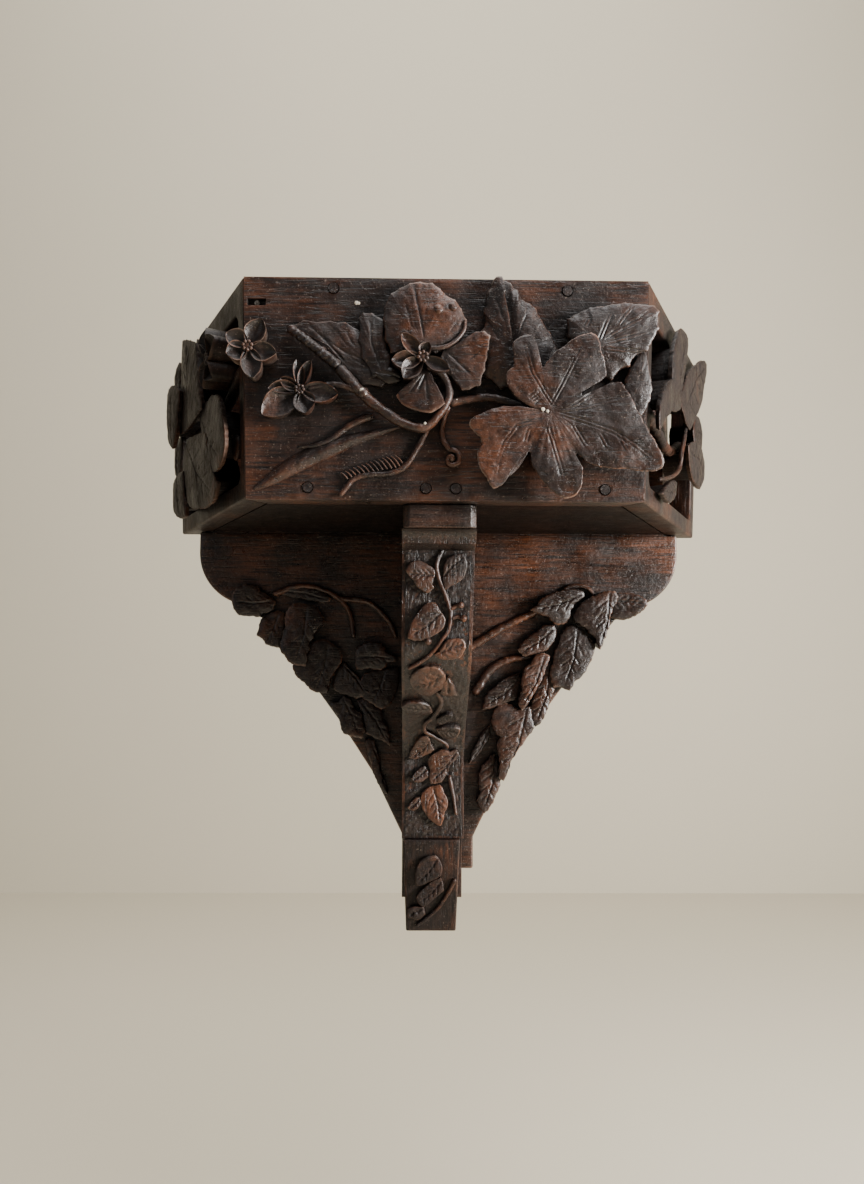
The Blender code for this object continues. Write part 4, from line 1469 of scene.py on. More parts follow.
    def cup_lip(self) -> list[Form]:
        """Gives the rolled lip at the foot of the round leaf.

        Returns:
            The lip, as one stem.
        """
        return [Stem(((-11, 68, 7.4), (-7, 66.4, 8), (-1, 67.2, 8), (4, 70.4, 7.4), (7.4, 75, 6.8),
                      (8.2, 80, 6)),
                     1.3, 0.7, 8)]

    def comb(self) -> list[Form]:
        """Gives the spines along the upper side of the low twig.

        Returns:
            A short stem for each spine.
        """
        spines = []
        for index in range(14):
            share = index / 13
            x = -18.5 - 25.5 * share
            root = 14.8 - 5.6 * share ** 1.4
            lean = -4.6 + 1.4 * share
            rise = 5.4 - 2.6 * share
            spines.append(Stem(((x, root, 1.4), (x + lean * 0.5, root + rise * 0.62, 1.5),
                                (x + lean, root + rise, 0.9)), 0.45, 0.3, 1.2, tone=0.0))
        return spines

    def spiral(self) -> list[Form]:
        """Gives the coiled bud.

        Returns:
            The coil and its heart.
        """
        turns = [(2.6 + (4.4 - 0.31 * step) * math.cos(1.9 - 0.62 * step),
                  18.5 + (4.4 - 0.31 * step) * math.sin(1.9 - 0.62 * step), 1.2 + 0.12 * step)
                 for step in range(13)]
        return [Stem(tuple(turns), 1.35, 0.8, 1.2), Knob((2.6, 18.5), 1.5, 1.8)]

    def board(self) -> bmesh.types.BMesh:
        """Makes the board with its peg holes and the pin's slot.

        Returns:
            The closed board.
        """
        sizes = self.sizes
        mesh = bmesh.new()
        bmesh.ops.create_cube(mesh, size=2.0)
        for vert in mesh.verts:
            offset = (-sizes.apron_thickness if vert.co.y > 0 else 0) + (sizes.flare if vert.co.z > 0 else 0)
            half = sizes.front_width / 2 + offset * sizes.mitre_shift - sizes.gap
            vert.co = (math.copysign(half, vert.co.x), -(sizes.depth + offset),
                       sizes.apron_height if vert.co.z > 0 else 0)
        face_outward(mesh)
        cutters = []
        for share, high in self.pegs:
            level = sizes.apron_height - sizes.top_thickness / 2 if high else 5.5
            cutters.append(self.hole(share * sizes.front_width / 2, level, self.peg_radius + sizes.gap, 30))
        level = sizes.apron_height - self.pin_drop
        left = self.pin_inset - sizes.front_width / 2
        start = -(sizes.depth + sizes.flare * level / sizes.apron_height)
        low, high = level - self.slot_height / 2, level + self.slot_height / 2
        ends = (left - self.slot_length / 2, left + self.slot_length / 2)
        cutters.append(slab([(ends[0], low), (ends[1], low), (ends[1], high), (ends[0], high)], start - 1,
                            start + self.slot_depth))
        board = subtract(mesh, cutters)
        soften(board, 0.9, 3, 60)
        score(board, 0, 4)
        score(board, 2, 4)
        return board

    def hole(self, across: float, level: float, radius: float, length: float) -> bmesh.types.BMesh:
        """Makes the cutter of a peg's hole.

        Args:
            across: The hole's place along X.
            level: Its height.
            radius: Its radius.
            length: Its length.

        Returns:
            The cutter.
        """
        mesh = bmesh.new()
        front = -(self.sizes.depth + self.sizes.flare * level / self.sizes.apron_height)
        matrix = Matrix.Translation((across, front + length / 2 - 1, level))
        matrix = matrix @ Matrix.Rotation(math.pi / 2, 4, "X")
        bmesh.ops.create_cone(mesh, cap_ends=True, segments=28, radius1=radius, radius2=radius, depth=length,
                              matrix=matrix)
        return mesh

    def build(self) -> bmesh.types.BMesh:
        """Makes the carved board.

        Returns:
            The mesh in millimetres.
        """
        face = apron_face(self.sizes, None)
        mesh = self.board()
        forms = self.forms() + self.blossoms() + self.cup_lip() + self.comb() + self.spiral() + self.chips()
        carve(mesh, face, forms, 0.13)
        return mesh


Panel = tuple[tuple[Trace, float, float], ...]

RIGHT_PANEL: Panel = (
    ((((98, 54), (104, 44), (120, 42), (130, 50), (131, 60), (118, 66), (104, 64)), ((98, 54), (131, 56))),
     6.6, 0.0),
    ((((20, 7), (42, 17), (59, 19), (56, 12), (38, 5)), ((56, 16), (24, 9))), 5.0, 0.0),
    ((((50, 60), (66, 52), (78, 50), (94, 60), (115, 75), (118, 84), (125, 93), (126, 99), (115, 98),
       (98, 91), (82, 84), (66, 76)), ((62, 58), (121, 97))), 8.2, 1.2),
    ((((70, 40), (93, 47), (118, 48), (127, 42), (127, 32), (113, 24), (88, 25), (75, 30)),
      ((72, 37), (127, 35))),
     8.6, 0.0),
    ((((60, 98), (73, 98), (72, 90), (65, 76), (60, 61), (54, 55), (32, 49), (12, 41), (3, 33), (0, 38),
       (2, 45), (12, 55), (29, 64), (31, 74), (38, 86), (47, 94)), ((42, 57), (66, 98))), 6.6, 0.0),
)
LEFT_PANEL: Panel = (
    ((((108, 92), (102, 88), (112, 66), (119, 60), (121, 88)), ((117, 62), (110, 91))), 8.0, 0.0),
    ((((76, 96), (64, 89), (55, 75), (48, 63), (66, 56), (75, 67), (81, 83)), ((66, 58), (72, 94))), 5.0,
     0.0),
    ((((88, 98), (56, 87), (50, 63), (46, 51), (80, 48), (103, 50), (95, 62), (93, 80)),
      ((76, 49), (77, 95))),
     10.0, 0.0),
    ((((128, 50), (108, 52), (110, 40), (118, 28), (128, 32), (130, 42)), ((118, 51), (121, 30))), 6.8, 0.0),
    ((((99, 76), (83, 69), (88, 57), (95, 46), (105, 42), (115, 49), (118, 61), (118, 71), (111, 77)),
      ((103, 44), (104, 75))), 13.2, 0.0),
    ((((106, 28), (91, 28), (89, 14), (86, 3), (102, 4), (116, 9), (120, 19), (117, 26)),
      ((105, 27), (99, 5))),
     10.2, 0.0),
    ((((88, 42), (67, 42), (41, 38), (37, 30), (27, 16), (20, 9), (25, 3), (39, 2), (56, 3), (80, 7),
       (91, 17), (98, 29), (95, 36)), ((84, 40), (27, 6))), 9.0, 0.0),
    ((((59, 50), (52, 54), (40, 54), (26, 53), (16, 50), (8, 40), (3, 27), (7, 20), (11, 17), (29, 16),
       (40, 19), (46, 25), (53, 38)), ((56, 50), (12, 20))), 8.4, 1.5),
)


@dataclass
class SideApron:
    """One slanted side of the box: leaves that stand in an open panel."""

    sizes: BracketSizes
    side: Side
    bed: float = 9.0

    def leaves(self) -> list[Form]:
        """Gives the panel's thin leaves, from the opening out.

        Returns:
            The leaves.
        """
        drawn = RIGHT_PANEL if self.side is Side.RIGHT else LEFT_PANEL
        return [LobedLeaf.trace(trace, crown, crown - 0.9, rise, thickness=1.9, undercut=0.35, bed=self.bed,
                                spacing=0.9, hollow=True, vein_depth=0.36, tooth=0.9, pitch=3.7, wave=0.35,
                                tone=-0.4)
                for trace, crown, rise in drawn]

    def forms(self) -> list[Form]:
        """Gives the other carved forms of the panel.

        Returns:
            The forms.
        """
        if self.side is Side.RIGHT:
            return [
                Stem(((72, 64, 3), (77, 57, 4.5), (72, 45, 5), (64, 34, 5), (61, 26, 4.5), (43, 19, 4),
                      (22, 14, 2)),
                     1.3, 1.0, 4),
                Stem(((6, 44), (34, 40), (66, 37), (96, 46), (132, 50)), 2.6, 2.2, -2),
            ]
        return [
            Knob((13, 26), 6.0, 0.2, 0.35),
            Stem(((6, 62), (34, 52), (60, 49), (88, 50), (132, 52)), 2.6, 2.2, -2),
            Stem(((58, 50, 6), (76, 53, 5), (94, 54, 4), (112, 55, 2)), 2.0, 1.6, 5),
            Blossom((26, 70), ((20, 16, 11), (88, 15, 11), (160, 16, 11), (232, 15, 10), (304, 15, 10)), 8.2,
                    heart=2.6, cup=3.6, bed=self.bed, tone=-1.0),
        ]

    def board(self) -> bmesh.types.BMesh:
        """Makes the board with its opening.

        Returns:
            The closed board.
        """
        sizes = self.sizes
        mesh = bmesh.new()
        bmesh.ops.create_cube(mesh, size=2.0)
        for vert in mesh.verts:
            offset = (-sizes.apron_thickness if vert.co.y > 0 else 0) + (sizes.flare if vert.co.z > 0 else 0)
            if vert.co.x < 0:
                across, depth = sizes.front_width / 2 + offset * sizes.mitre_shift, -(sizes.depth + offset)
            else:
                across, depth = sizes.back_width / 2 + offset / math.cos(sizes.side_angle), 0.0
            vert.co = (self.side.value * across, depth, sizes.apron_height if vert.co.z > 0 else 0)
        face_outward(mesh)
        face = apron_face(sizes, self.side)
        window = bmesh.new()
        bmesh.ops.create_cube(window, size=2.0)
        for vert in window.verts:
            along = sizes.front_stile if vert.co.x < 0 else sizes.side_length - sizes.rear_stile
            level = sizes.bottom_rail if vert.co.z < 0 else sizes.apron_height - sizes.top_rail
            vert.co = (along, level, sizes.apron_thickness * (-2 if vert.co.y > 0 else 1))
        edges = [edge for edge in window.edges if abs(edge.verts[0].co.z - edge.verts[1].co.z) > 1]
        bmesh.ops.bevel(window, geom=edges, offset=6.0, segments=4, profile=0.5, affect="EDGES")
        for vert in window.verts:
            vert.co = face.place(*vert.co)
        face_outward(window)
        board = subtract(mesh, [window])
        soften(board, 1.1, 3, 40)
        score(board, 1, 4)
        score(board, 2, 4)
        return board

    def build(self) -> bmesh.types.BMesh:
        """Makes the carved side.

        Returns:
            The mesh in millimetres.
        """
        face = apron_face(self.sizes, self.side)
        mesh = self.board()
        carve(mesh, face, self.forms() + self.leaves(), 0.37 + self.side.value * 0.2)
        return mesh


Wing = tuple[tuple[Trace, float], ...]

RIGHT_WING: Wing = (
    ((((17, -130), (18, -125), (21, -119), (26, -111), (29, -108), (29, -114), (25, -121), (21, -126)),
      ((28, -110), (18, -129))), 3.0),
    ((((99, -34), (108, -34), (115, -36), (118, -40), (114, -45), (109, -48), (102, -49), (97, -48),
       (96, -41)),
      ((96, -39), (117, -40))), 4.0),
    ((((75, -52), (80, -55), (84, -59), (88, -62), (87, -68), (84, -75), (80, -81), (76, -84), (73, -89),
       (70, -88), (68, -87), (64, -87), (62, -80), (64, -72), (67, -63), (70, -55)),
      ((78, -54), (70, -87))), 5.5),
    ((((44, -66), (49, -60), (55, -56), (60, -52), (65, -52), (66, -57), (64, -63), (60, -67), (53, -69),
       (47, -70)),
      ((65, -54), (45, -68))), 5.0),
    ((((63, -72), (67, -80), (65, -89), (62, -95), (60, -102), (57, -107), (54, -109), (52, -107),
       (51, -100), (53, -92), (57, -84)), ((63, -75), (54, -108))), 4.5),
    ((((26, -92), (31, -87), (40, -81), (46, -79), (47, -87), (45, -93), (38, -96), (30, -99), (24, -100),
       (25, -96)), ((46, -82), (25, -98))), 5.0),
    ((((23, -133), (26, -129), (31, -124), (34, -130), (35, -138), (32, -147), (29, -153), (26, -157),
       (23, -155), (21, -150), (23, -145), (22, -138)), ((32, -126), (25, -155))), 5.0),
    ((((30, -102), (33, -97), (38, -96), (44, -99), (51, -98), (52, -104), (53, -110), (49, -115),
       (44, -122), (40, -128), (38, -135), (36, -139), (33, -137), (34, -130), (33, -124), (32, -119),
       (34, -115), (30, -110), (29, -106)), ((49, -99), (36, -137))), 7.0),
    ((((57, -38), (62, -35), (68, -33), (74, -32), (81, -33), (82, -36), (77, -40), (74, -44), (73, -49),
       (70, -52), (65, -52), (61, -48), (56, -46), (51, -44), (55, -41)), ((80, -35), (53, -44))), 7.0),
    ((((89, -35), (93, -33), (99, -33), (101, -36), (98, -42), (96, -48), (94, -57), (92, -62), (90, -66),
       (87, -59), (82, -54), (77, -51), (75, -48), (77, -43), (82, -38)), ((96, -34), (90, -64))), 7.0),
    ((((51, -74), (54, -69), (59, -68), (62, -70), (60, -76), (58, -81), (55, -87), (52, -92), (49, -97),
       (46, -100), (44, -96), (46, -89), (46, -81), (48, -76)), ((59, -70), (46, -98))), 8.0),
)
LEFT_WING: Wing = (
    ((((-41, -116), (-36, -117), (-34, -124), (-32, -134), (-28, -147), (-31, -145), (-35, -138),
       (-38, -129), (-40, -122)), ((-38, -117), (-29, -146))), 4.0),
    ((((-92, -34), (-86, -31), (-80, -30), (-73, -32), (-66, -34), (-61, -38), (-62, -40), (-70, -40),
       (-77, -39), (-84, -37)), ((-90, -34), (-62, -39))), 3.0),
    ((((-46, -90), (-42, -80), (-32, -78), (-23, -76), (-22, -83), (-24, -91), (-28, -98), (-32, -100),
       (-37, -97), (-43, -93)), ((-30, -78), (-38, -98))), 4.2),
    ((((-54, -73), (-50, -77), (-46, -81), (-43, -84), (-41, -88), (-38, -91), (-41, -92), (-46, -94),
       (-53, -92), (-58, -90), (-60, -86), (-58, -80)), ((-55, -74), (-40, -92))), 4.0),
    ((((-46, -95), (-40, -94), (-36, -98), (-32, -100), (-31, -106), (-28, -111), (-27, -116), (-27, -120),
       (-32, -117), (-37, -115), (-41, -113), (-42, -108), (-43, -102)), ((-44, -95), (-28, -119))), 4.6),
    ((((-47, -66), (-39, -62), (-32, -63), (-29, -68), (-23, -72), (-28, -74), (-32, -78), (-39, -77),
       (-46, -78), (-47, -72)), ((-46, -71), (-24, -72))), 5.2),
    ((((-53, -92), (-49, -94), (-47, -99), (-43, -102), (-42, -107), (-41, -112), (-43, -116), (-47, -115),
       (-53, -113), (-55, -107), (-57, -103), (-61, -98), (-60, -96), (-56, -95)),
      ((-54, -93), (-44, -115))), 5.6),
    ((((-116, -35), (-112, -31), (-107, -30), (-102, -31), (-100, -34), (-96, -36), (-93, -38), (-92, -42),
       (-95, -46), (-99, -47), (-100, -49), (-105, -48), (-112, -48), (-114, -46), (-116, -42)),
      ((-94, -40), (-115, -40))), 4.5),
    ((((-100, -50), (-96, -47), (-91, -45), (-87, -46), (-86, -51), (-87, -58), (-88, -62), (-89, -66),
       (-94, -65), (-97, -64), (-99, -61), (-102, -59), (-101, -55)), ((-90, -46), (-97, -64))), 5.5),
    ((((-72, -63), (-64, -61), (-55, -67), (-54, -72), (-57, -78), (-60, -82), (-61, -87), (-62, -91),
       (-70, -90), (-75, -85), (-80, -81), (-82, -76), (-78, -72)), ((-62, -63), (-68, -90))), 6.5),
    ((((-86, -46), (-82, -41), (-75, -41), (-70, -42), (-66, -46), (-64, -51), (-67, -54), (-69, -58),
       (-72, -63), (-73, -70), (-74, -76), (-78, -76), (-82, -75), (-86, -71), (-89, -66), (-88, -60),
       (-86, -54)),
      ((-74, -42), (-80, -75))), 7.5),
)


@dataclass
class Backboard:
    """The board on the wall: a neck behind the box, a band under it and two leafy wings down to a stem."""

    sizes: BracketSizes
    bed: float = 13.6

    def board(self) -> bmesh.types.BMesh:
        """Makes the plain board.

        Returns:
            The closed board.
        """
        sizes = self.sizes
        half, stem_half = sizes.board_width / 2, sizes.stem_width / 2
        centre = (half - sizes.band_radius, -sizes.band_drop + sizes.band_radius)
        run = Vector((half - sizes.band_radius - stem_half, sizes.board_drop - sizes.band_drop))
        right = arc(centre, sizes.band_radius, 0, -90, 20)
        right += [(stem_half + run.x * (1 - share) ** 1.25, -sizes.band_drop - run.y * share * 0.88)
                  for share in (0.12, 0.3, 0.5, 0.72, 1.0)]
        right += [(stem_half, -sizes.board_drop)]
        left = [(-x, y) for x, y in reversed(right)]
        outline = [(half, -sizes.gap)] + right + left + [(-half, -sizes.gap)]
        board = slab(outline, -sizes.board_thickness, 0)
        soften(board, 1.1, 3, 60)
        score(board, 0, 4)
        score(board, 2, 4)
        inset = sizes.apron_thickness + sizes.gap
        slant = sizes.side_angle
        ends = [sizes.back_width / 2 - inset / math.cos(slant) - depth * math.tan(slant)
                for depth in (sizes.board_thickness, 0)]
        front, back = -(sizes.board_thickness - 0.2), -0.2
        neck = prism([(-ends[0], front), (ends[0], front), (ends[1], back), (-ends[1], back)], -5.0,
                     sizes.apron_height - sizes.top_thickness - sizes.gap)
        for axis in range(3):
            score(neck, axis, 4)
        absorb(board, neck)
        return board

    def forms(self) -> list[Form]:
        """Gives the leaves and stems of both wings.

        Returns:
            The forms.
        """
        forms: list[Form] = [
            Stem(((14, -66), (19, -64), (36, -54), (56, -44), (66, -40)), 2.6, 2.0, 0.8),
            Stem(((20, -92), (22, -88), (30, -77), (41, -71.5), (54, -70)), 2.8, 2.0, 0.9),
            Stem(((70, -33), (76, -30), (84, -31), (89, -37)), 1.5, 1.2, 1.6),
            Stem(((-94, -36), (-78, -31), (-61, -35), (-51, -45), (-48, -60)), 1.8, 1.4, 1.6),
            Stem(((-57, -38), (-40, -40), (-29, -50), (-24, -60)), 1.8, 1.4, 1.2),
        ]
        for wing, depth, tone in ((RIGHT_WING, 0.4, -0.5), (LEFT_WING, 0.28, -0.8)):
            forms += [LobedLeaf.trace(drawn, crown + 0.3, crown - 0.5, 1.8, tooth=0.85, pitch=3.5,
                                      thickness=2.6, undercut=0.12, bed=self.bed, vein_depth=depth,
                                      wave=0.4, tone=tone)
                      for drawn, crown in wing]
        return forms

    def build(self) -> bmesh.types.BMesh:
        """Makes the carved board.

        Returns:
            The mesh in millimetres.
        """
        face = Face(Vector((0, -self.sizes.board_thickness, 0)), Vector((1, 0, 0)), Vector((0, 0, 1)),
                    Vector((0, -1, 0)))
        mesh = self.board()
        carve(mesh, face, self.forms(), 0.21)
        return mesh


STRUT_LEAVES: tuple[Trace, ...] = (
    (((-18, -29), (-16, -26), (-12.5, -24.5), (-10, -25), (-7, -26.5), (-4.5, -28.5), (-4, -31.5),
       (-5, -33), (-5.5, -36), (-4.5, -37.5), (-8, -40), (-10.5, -39), (-14.5, -34), (-17.5, -30.5)),
       ((-4, -31.5), (-17.5, -30.5))),
    (((1.5, -23.5), (9, -21), (11, -25.5), (9.5, -32.5), (3, -36.5), (0.5, -38.5), (-0.5, -31.5)),
       ((-0.5, -32.5), (10, -22.5))),
    (((-7.5, -44.5), (-4, -44.5), (-1, -49), (1, -52.5), (0, -56.5), (-4, -59.5), (-11, -62.5),
       (-17, -61.5), (-16, -56.5), (-12, -49)), ((0, -48), (-16.5, -61))),
    (((-2, -67), (2, -62), (9, -61.5), (11, -65), (8, -69.5), (0, -70.5), (-4.5, -68.5)), ((-3, -68),
       (11, -63.5))),
    (((-15, -77.5), (-8.5, -74), (-1.5, -74.5), (1.5, -79), (2, -82.5), (-2, -85.5), (-7, -88),
       (-12, -86.5), (-15.5, -81.5)), ((0.5, -77.5), (-15, -84))),
    (((2.5, -79), (7.5, -87.5), (-1, -86.5)), ((2.5, -79.5), (3, -86.5))),
    (((-20, -93), (-15, -91), (-6, -93), (-4.5, -97), (-11.5, -98), (-19.5, -94.5)), ((-4.5, -95),
       (-19.5, -93.5))),
    (((-2.5, -101), (2, -98), (6, -98), (3, -102), (-1, -103.5)), ((-2.5, -101.5), (6, -98.5))),
    (((-2.5, -106.5), (3, -104.5), (10, -105.5), (9, -110), (3.5, -112), (-0.5, -109.5)), ((-2.5, -107),
       (10, -108))),
    (((-16.5, -123), (-14, -116), (-10.5, -111), (-6.5, -110), (-5, -114.5), (-3, -118), (-8, -121.5),
       (-13.5, -124)), ((-4.5, -112), (-15.5, -123.5))),
    (((-6.5, -123.5), (0, -118), (5, -119), (9, -118), (10, -121.5), (5, -127), (1, -135.5), (-5, -136.5),
       (-5.5, -129.5)), ((9, -119), (-5, -136))),
    (((-15.5, -134), (-8, -126.5), (-5.5, -133), (-12, -136)), ((-6.5, -128.5), (-15, -135))),
    (((-10.5, -146), (-8.5, -140), (-4, -137.5), (0, -137), (2.5, -141.5), (4.5, -146), (2.5, -151),
       (0.5, -158), (-3.5, -156.5), (-8, -151)), ((-3.5, -138.5), (0, -157.5))),
    (((-17, -149), (-14, -145), (-10.5, -143), (-10, -147), (-13.5, -150.5)), ((-10, -143.5),
       (-16.5, -150))),
)
STRUT_STEMS = (
    ((-0.5, -18.8, -0.3), (-3.3, -25.9), (-2.7, -32.0), (0.2, -39.5), (2.6, -46.1), (3.5, -49.4),
     (2.6, -56.5), (0.3, -60.8), (-5.3, -67.9), (-11.9, -72.7), (-16.7, -75.2)),
    ((-2.5, -86.5), (-0.4, -90.6), (-0.8, -94.3), (-4.1, -99.8), (-8.1, -103.6), (-8.0, -108.0),
     (-3.3, -110.8), (2.5, -114.6), (4.1, -117.4)),
    ((4.7, -132.0), (6.9, -142.4), (8.5, -152.7)),
    ((3.0, -48.0), (6.0, -46.0), (7.8, -45.6)),
    ((3.4, -52.0), (6.4, -51.2), (9.2, -51.8)),
)
BERRIES = ((8.0, -45.6), (9.4, -51.8), (-7.3, -62.7))
FOOT_LEAVES: tuple[Trace, ...] = (
    (((2, -7.5), (-4.5, -9), (-8, -14.5), (-8.5, -20.5), (-7.5, -23.5), (-1.5, -21.5), (5, -18.5),
       (5.5, -12.5)), ((3.5, -9), (-7.5, -22.5))),
    (((5, -19), (-4, -25), (-8, -29.5), (-7, -32.5), (-4, -34.5), (1.5, -30), (6.5, -26)), ((6, -20.5),
       (-6.5, -32.5))),
    (((-12, -35.5), (-4, -34.5), (-3, -38.5), (-6.5, -41.5), (-12, -40)), ((-4.5, -35.5), (-12, -39.5))),
)


@dataclass
class Strut:
    """The brace under the box with its cap and its foot block."""

    sizes: BracketSizes

    def leaves(self, drawn: tuple[Trace, ...], bright: int) -> list[Form]:
        """Gives low leaves of the vine.

        Args:
            drawn: Their outlines.
            bright: The number of the one that has been worn to a bright brown.

        Returns:
            The leaves.
        """
        return [LobedLeaf.trace(trace, 3.0, 2.5, 0.5, tooth=0.15, thickness=2.0, undercut=0.05, bed=1.5,
                                spacing=0.5, vein_depth=0.34, wave=0.5,
                                tone=1.2 if index == bright else -0.1)
                for index, trace in enumerate(drawn)]

    def cap(self) -> bmesh.types.BMesh:
        """Makes the cap, its two front corners chamfered.

        Returns:
            The closed block.
        """
        sizes = self.sizes
        front, back, half = -sizes.cap_depth, -(sizes.board_thickness + sizes.gap), sizes.cap_width / 2
        shoulder, nose = front + sizes.cap_chamfer, half - sizes.cap_chamfer
        outline = [(-half, back), (-half, shoulder), (-nose, front), (nose, front), (half, shoulder),
                   (half, back)]
        mesh = prism([(x + sizes.strut_offset, y) for x, y in outline], -sizes.cap_height, -sizes.gap)
        soften(mesh, 0.6, 3, 40)
        score(mesh, 0, 3)
        return mesh

    def body(self) -> bmesh.types.BMesh:
        """Makes the brace with its vine.

        Returns:
            The carved brace.
        """
        sizes = self.sizes
        back, top = sizes.board_thickness + sizes.gap, sizes.cap_height + sizes.gap
        cove = arc((sizes.cap_depth - sizes.cap_chamfer, top + sizes.cove), sizes.cove, -90, -180, 8)
        start = top + sizes.cove
        face = [(sizes.strut_depth(start + (sizes.strut_drop - start) * step / 60),
                 start + (sizes.strut_drop - start) * step / 60) for step in range(1, 61)]
        outline = [(back, top)] + cove + face
        outline += [(sizes.tail_depth, sizes.strut_drop), (sizes.tail_depth, sizes.tail_drop),
                    (back, sizes.tail_drop)]
        mesh = prism(outline, 0, 1)
        left = sizes.strut_offset - sizes.strut_top_width / 2
        for vert in mesh.verts:
            depth, drop = vert.co.xy
            vert.co = (left + sizes.strut_width(drop) * vert.co.z, -depth, -drop)
        face_outward(mesh)
        soften(mesh, 0.8, 3, 50)
        score(mesh, 2, 3)
        score(mesh, 0, 3)
        drawn = StrutFace(Vector(), Vector(), Vector(), Vector((0, -1, 0)), sizes)
        forms: list[Form] = [Ground(sizes)] + self.leaves(STRUT_LEAVES, 12)
        forms += [Stem(route, 1.2, 0.9, 1.3) for route in STRUT_STEMS]
        forms += [Knob(spot, 1.7, 1.7) for spot in BERRIES]
        carve(mesh, drawn, forms, 0.43)
        return mesh

    def foot(self) -> bmesh.types.BMesh:
        """Makes the foot block with its sprig.

        Returns:
            The carved block.
        """
        sizes = self.sizes
        back, top = sizes.tail_depth + sizes.gap, -(sizes.strut_drop + sizes.gap)
        middle = sizes.strut_offset - (sizes.strut_top_width - sizes.strut_low_width) / 2 - 0.6
        mesh = bmesh.new()
        bmesh.ops.create_cube(mesh, size=2.0)
        for vert in mesh.verts:
            width = sizes.foot_top_width if vert.co.z > 0 else sizes.foot_low_width
            front = sizes.foot_top_depth if vert.co.z > 0 else sizes.foot_low_depth
            vert.co = (middle + vert.co.x * width / 2, -front if vert.co.y < 0 else -back,
                       top if vert.co.z > 0 else top - sizes.foot_height)
        soften(mesh, 0.8, 3, 50)
        score(mesh, 2, 3)
        score(mesh, 0, 3)
        up = Vector((0, (sizes.foot_low_depth - sizes.foot_top_depth) / sizes.foot_height, 1))
        face = Face(Vector((middle, -sizes.foot_top_depth, top)), Vector((1, 0, 0)), up, Vector((0, -1, 0)))
        forms = self.leaves(FOOT_LEAVES, 3)
        forms.append(Stem(((12.4, -20), (8.8, -27.4), (3.7, -35.3), (-3, -41.6), (-7.7, -44.8)),
                          1.2, 0.9, 1.0))
        forms.append(Knob((-8.2, -38.4), 1.5, 1.7))
        carve(mesh, face, forms, 0.77)
        return mesh


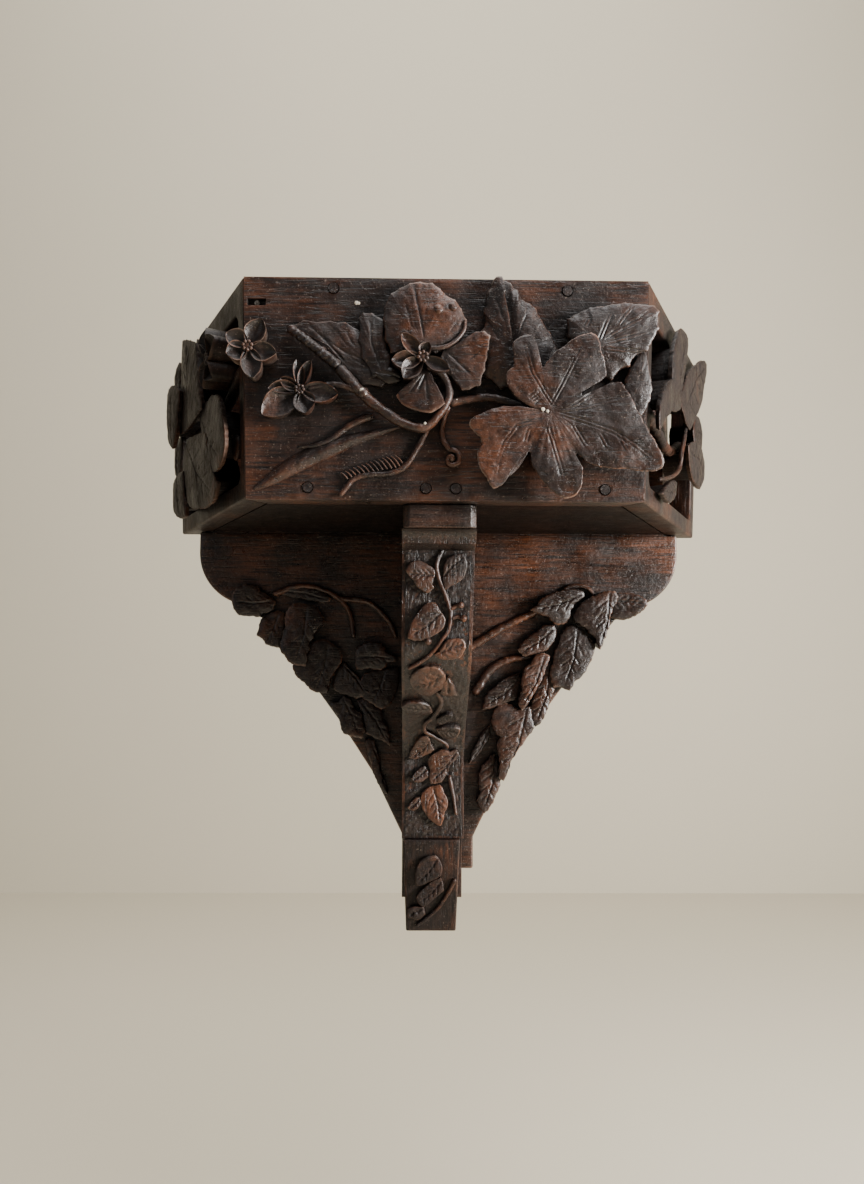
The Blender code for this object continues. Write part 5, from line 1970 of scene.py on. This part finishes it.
class Studio:
    """The camera at the photograph's place, its soft light, and a plain floor and backdrop."""

    def __init__(self, focal: float = 921.36, place: tuple[float, float, float] = (-12.91, -537.89, -68.73),
                 pitch: float = 3.83, yaw: float = 0.97, roll: float = -0.30) -> None:
        """Keeps the camera that was fitted to the box's edges.

        Args:
            focal: The focal length in pixels of the photograph.
            place: The camera's place in millimetres.
            pitch: How far it looks up, in degrees.
            yaw: How far it turns to the right.
            roll: How far it leans.
        """
        self.focal, self.place = focal, Vector(place) * MM
        self.pitch, self.yaw, self.roll = math.radians(pitch), math.radians(yaw), math.radians(roll)

    def camera(self) -> None:
        """Makes the camera."""
        data = bpy.data.cameras.new("camera")
        data.sensor_fit = "VERTICAL"
        data.sensor_height = 36.0
        data.lens = self.focal / PHOTO_SIZE[1] * 36.0
        camera = bpy.data.objects.new("camera", data)
        turn = Matrix.Rotation(-self.yaw, 4, "Z") @ Matrix.Rotation(self.pitch, 4, "X")
        turn = turn @ Matrix.Rotation(self.roll, 4, "Y") @ Matrix.Rotation(math.pi / 2, 4, "X")
        camera.matrix_world = Matrix.Translation(self.place) @ turn
        bpy.context.scene.collection.objects.link(camera)
        bpy.context.scene.camera = camera

    def lamp(self, name: str, place: tuple[float, float, float], size: float, power: float,
             colour: Colour, aim: tuple[float, float, float] = (0.0, -0.06, -0.03)) -> None:
        """Makes a soft square lamp.

        Args:
            name: The lamp's name.
            place: Its place in metres.
            size: The length of its sides.
            power: Its power in watts.
            colour: Its colour.
            aim: The place that it faces.
        """
        data = bpy.data.lights.new(name, "AREA")
        data.energy, data.size, data.color = power, size, colour
        lamp = bpy.data.objects.new(name, data)
        way = Vector(aim) - Vector(place)
        lamp.matrix_world = Matrix.Translation(place) @ way.to_track_quat("-Z", "Y").to_matrix().to_4x4()
        bpy.context.scene.collection.objects.link(lamp)

    def surface(self, name: str, size: float, matrix: Matrix, colour: Colour) -> None:
        """Makes the floor or the backdrop.

        Args:
            name: The surface's name.
            size: Half its width in metres.
            matrix: Its place and turn.
            colour: Its colour.
        """
        mesh = bmesh.new()
        bmesh.ops.create_grid(mesh, x_segments=1, y_segments=1, size=size, matrix=matrix)
        block = bpy.data.meshes.new(name)
        mesh.to_mesh(block)
        mesh.free()
        paint = Paint(name)
        paint.shader.inputs["Specular IOR Level"].default_value = 0.1
        tone = paint.noise(paint.coordinates(), 3, 2, 0.5)
        grey = tuple(channel * 0.96 for channel in colour)
        block.materials.append(paint.finish(paint.mix(tone, grey, colour),
                                            paint.span(tone, 0, 1, 0.85, 0.95), tone, 0.0))
        plane = bpy.data.objects.new(name, block)
        bpy.context.scene.collection.objects.link(plane)

    def build(self) -> None:
        """Makes the whole studio."""
        self.camera()
        pale = (0.63, 0.57, 0.45)
        self.surface("floor", 8.0, Matrix.Translation((0, -0.5, -0.46)), pale)
        upright = Matrix.Rotation(math.pi / 2, 4, "X")
        self.surface("backdrop", 8.0, Matrix.Translation((0, 1.0, 0.5)) @ upright, pale)
        self.lamp("key", (1.0, -0.52, 0.06), 0.34, 37.0, (1.0, 0.985, 0.96))
        self.lamp("top", (0.3, -0.55, 1.0), 0.5, 8.0, (0.97, 0.98, 1.0))
        self.lamp("fill", (-1.0, -0.9, 0.25), 0.7, 1.3, (0.93, 0.96, 1.0))
        self.lamp("backdrop lamp", (0.0, 0.2, 1.6), 1.5, 26.0, (1.0, 0.97, 0.92), (0.0, 1.0, 0.0))
        world = bpy.data.worlds.new("studio")
        world.use_nodes = True
        world.node_tree.nodes["Background"].inputs["Color"].default_value = (0.9, 0.94, 1.0, 1.0)
        world.node_tree.nodes["Background"].inputs["Strength"].default_value = 0.08
        bpy.context.scene.world = world


class Bracket:
    """The whole bracket, piece by piece."""

    def __init__(self, sizes: BracketSizes, workshop: Workshop) -> None:
        """Keeps what the pieces need.

        Args:
            sizes: The bracket's sizes.
            workshop: What turns the meshes into pieces.
        """
        self.sizes, self.workshop = sizes, workshop
        self.across = WoodFinish("carved_wood_across", Grain.ACROSS).material()
        self.side = WoodFinish("carved_wood_side", Grain.UP, body=(0.02, 0.0112, 0.0084),
                               rubbed_and_highlight=(0.25, 0.18, 0.14), warmth=0.15, gloss=0.5, wear_and_painted_light=0.4,
                               shine=0.22).material()
        self.warm = WoodFinish("carved_wood_warm", Grain.UP, warmth=0.7).material()
        self.back = WoodFinish("carved_wood_back", Grain.ACROSS, warmth=0.85, gloss=0.34).material()
        self.dark = WoodFinish("cap_wood", Grain.ACROSS, warmth=0.0, wear_and_painted_light=0.6).material()
        # Near black, darker than the carved pieces: partly the board's own dark stain, partly painted shade
        # for the underside of the box.
        self.plain = WoodFinish("board_wood", Grain.ACROSS, body=(0.009, 0.0048, 0.0036),
                                warm=(0.03, 0.01, 0.005), warmth=0.4, gloss=0.55, shine=0.12,
                                carved=False).material()
        self.peg = WoodFinish("peg_wood", Grain.OUT, warmth=0.0, carved=False).material()

    def build(self) -> None:
        """Makes the carved pieces."""
        strut = Strut(self.sizes)
        deliver = self.workshop.deliver
        deliver("carved_front", FrontApron(self.sizes).build(), self.across, "dark_wood", "front_apron")
        deliver("carved_left_side", SideApron(self.sizes, Side.LEFT).build(), self.side, "dark_wood",
                "left_apron")
        deliver("carved_right_side", SideApron(self.sizes, Side.RIGHT).build(), self.side, "dark_wood",
                "right_apron")
        deliver("carved_backboard", Backboard(self.sizes).build(), self.back, "dark_wood", "backboard")
        deliver("cap_block", strut.cap(), self.dark, "dark_wood", "strut_cap")
        deliver("carved_strut", strut.body(), self.warm, "warm_wood", "strut")
        deliver("carved_foot", strut.foot(), self.side, "warm_wood", "foot_block")

    def finish_solids(self, frame: dict) -> None:
        """Gives their looks to the solids that stay in view.
        """
        metal = pin_finish()
        for name, node in frame["nodes"].items():
            finish = self.peg if name.startswith("peg") else metal if name == "corner_pin" else self.plain
            for index in range(len(node.data.materials)):
                node.data.materials[index] = finish


def pin_finish() -> bpy.types.Material:
    """Makes the dull metal of the corner pin.

    Returns:
        The material.
    """
    paint = Paint("pin_metal")
    tone = paint.noise(paint.coordinates(), 900, 4, 0.6)
    colour = paint.mix(paint.ramp(tone, 0.4, 0.65), (0.16, 0.13, 0.11), (0.5, 0.46, 0.4))
    return paint.finish(colour, paint.span(tone, 0.3, 0.7, 0.35, 0.6), tone, 0.00008, 1.0)


def main() -> None:
    """Builds every piece in order."""
    logging.basicConfig(level=logging.INFO, format="%(message)s")
    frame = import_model()
    sizes = BracketSizes()
    workshop = Workshop()
    bracket = Bracket(sizes, workshop)
    bracket.build()
    bracket.finish_solids(frame)
    Studio().build()


if __name__ == "__main__":
    main()
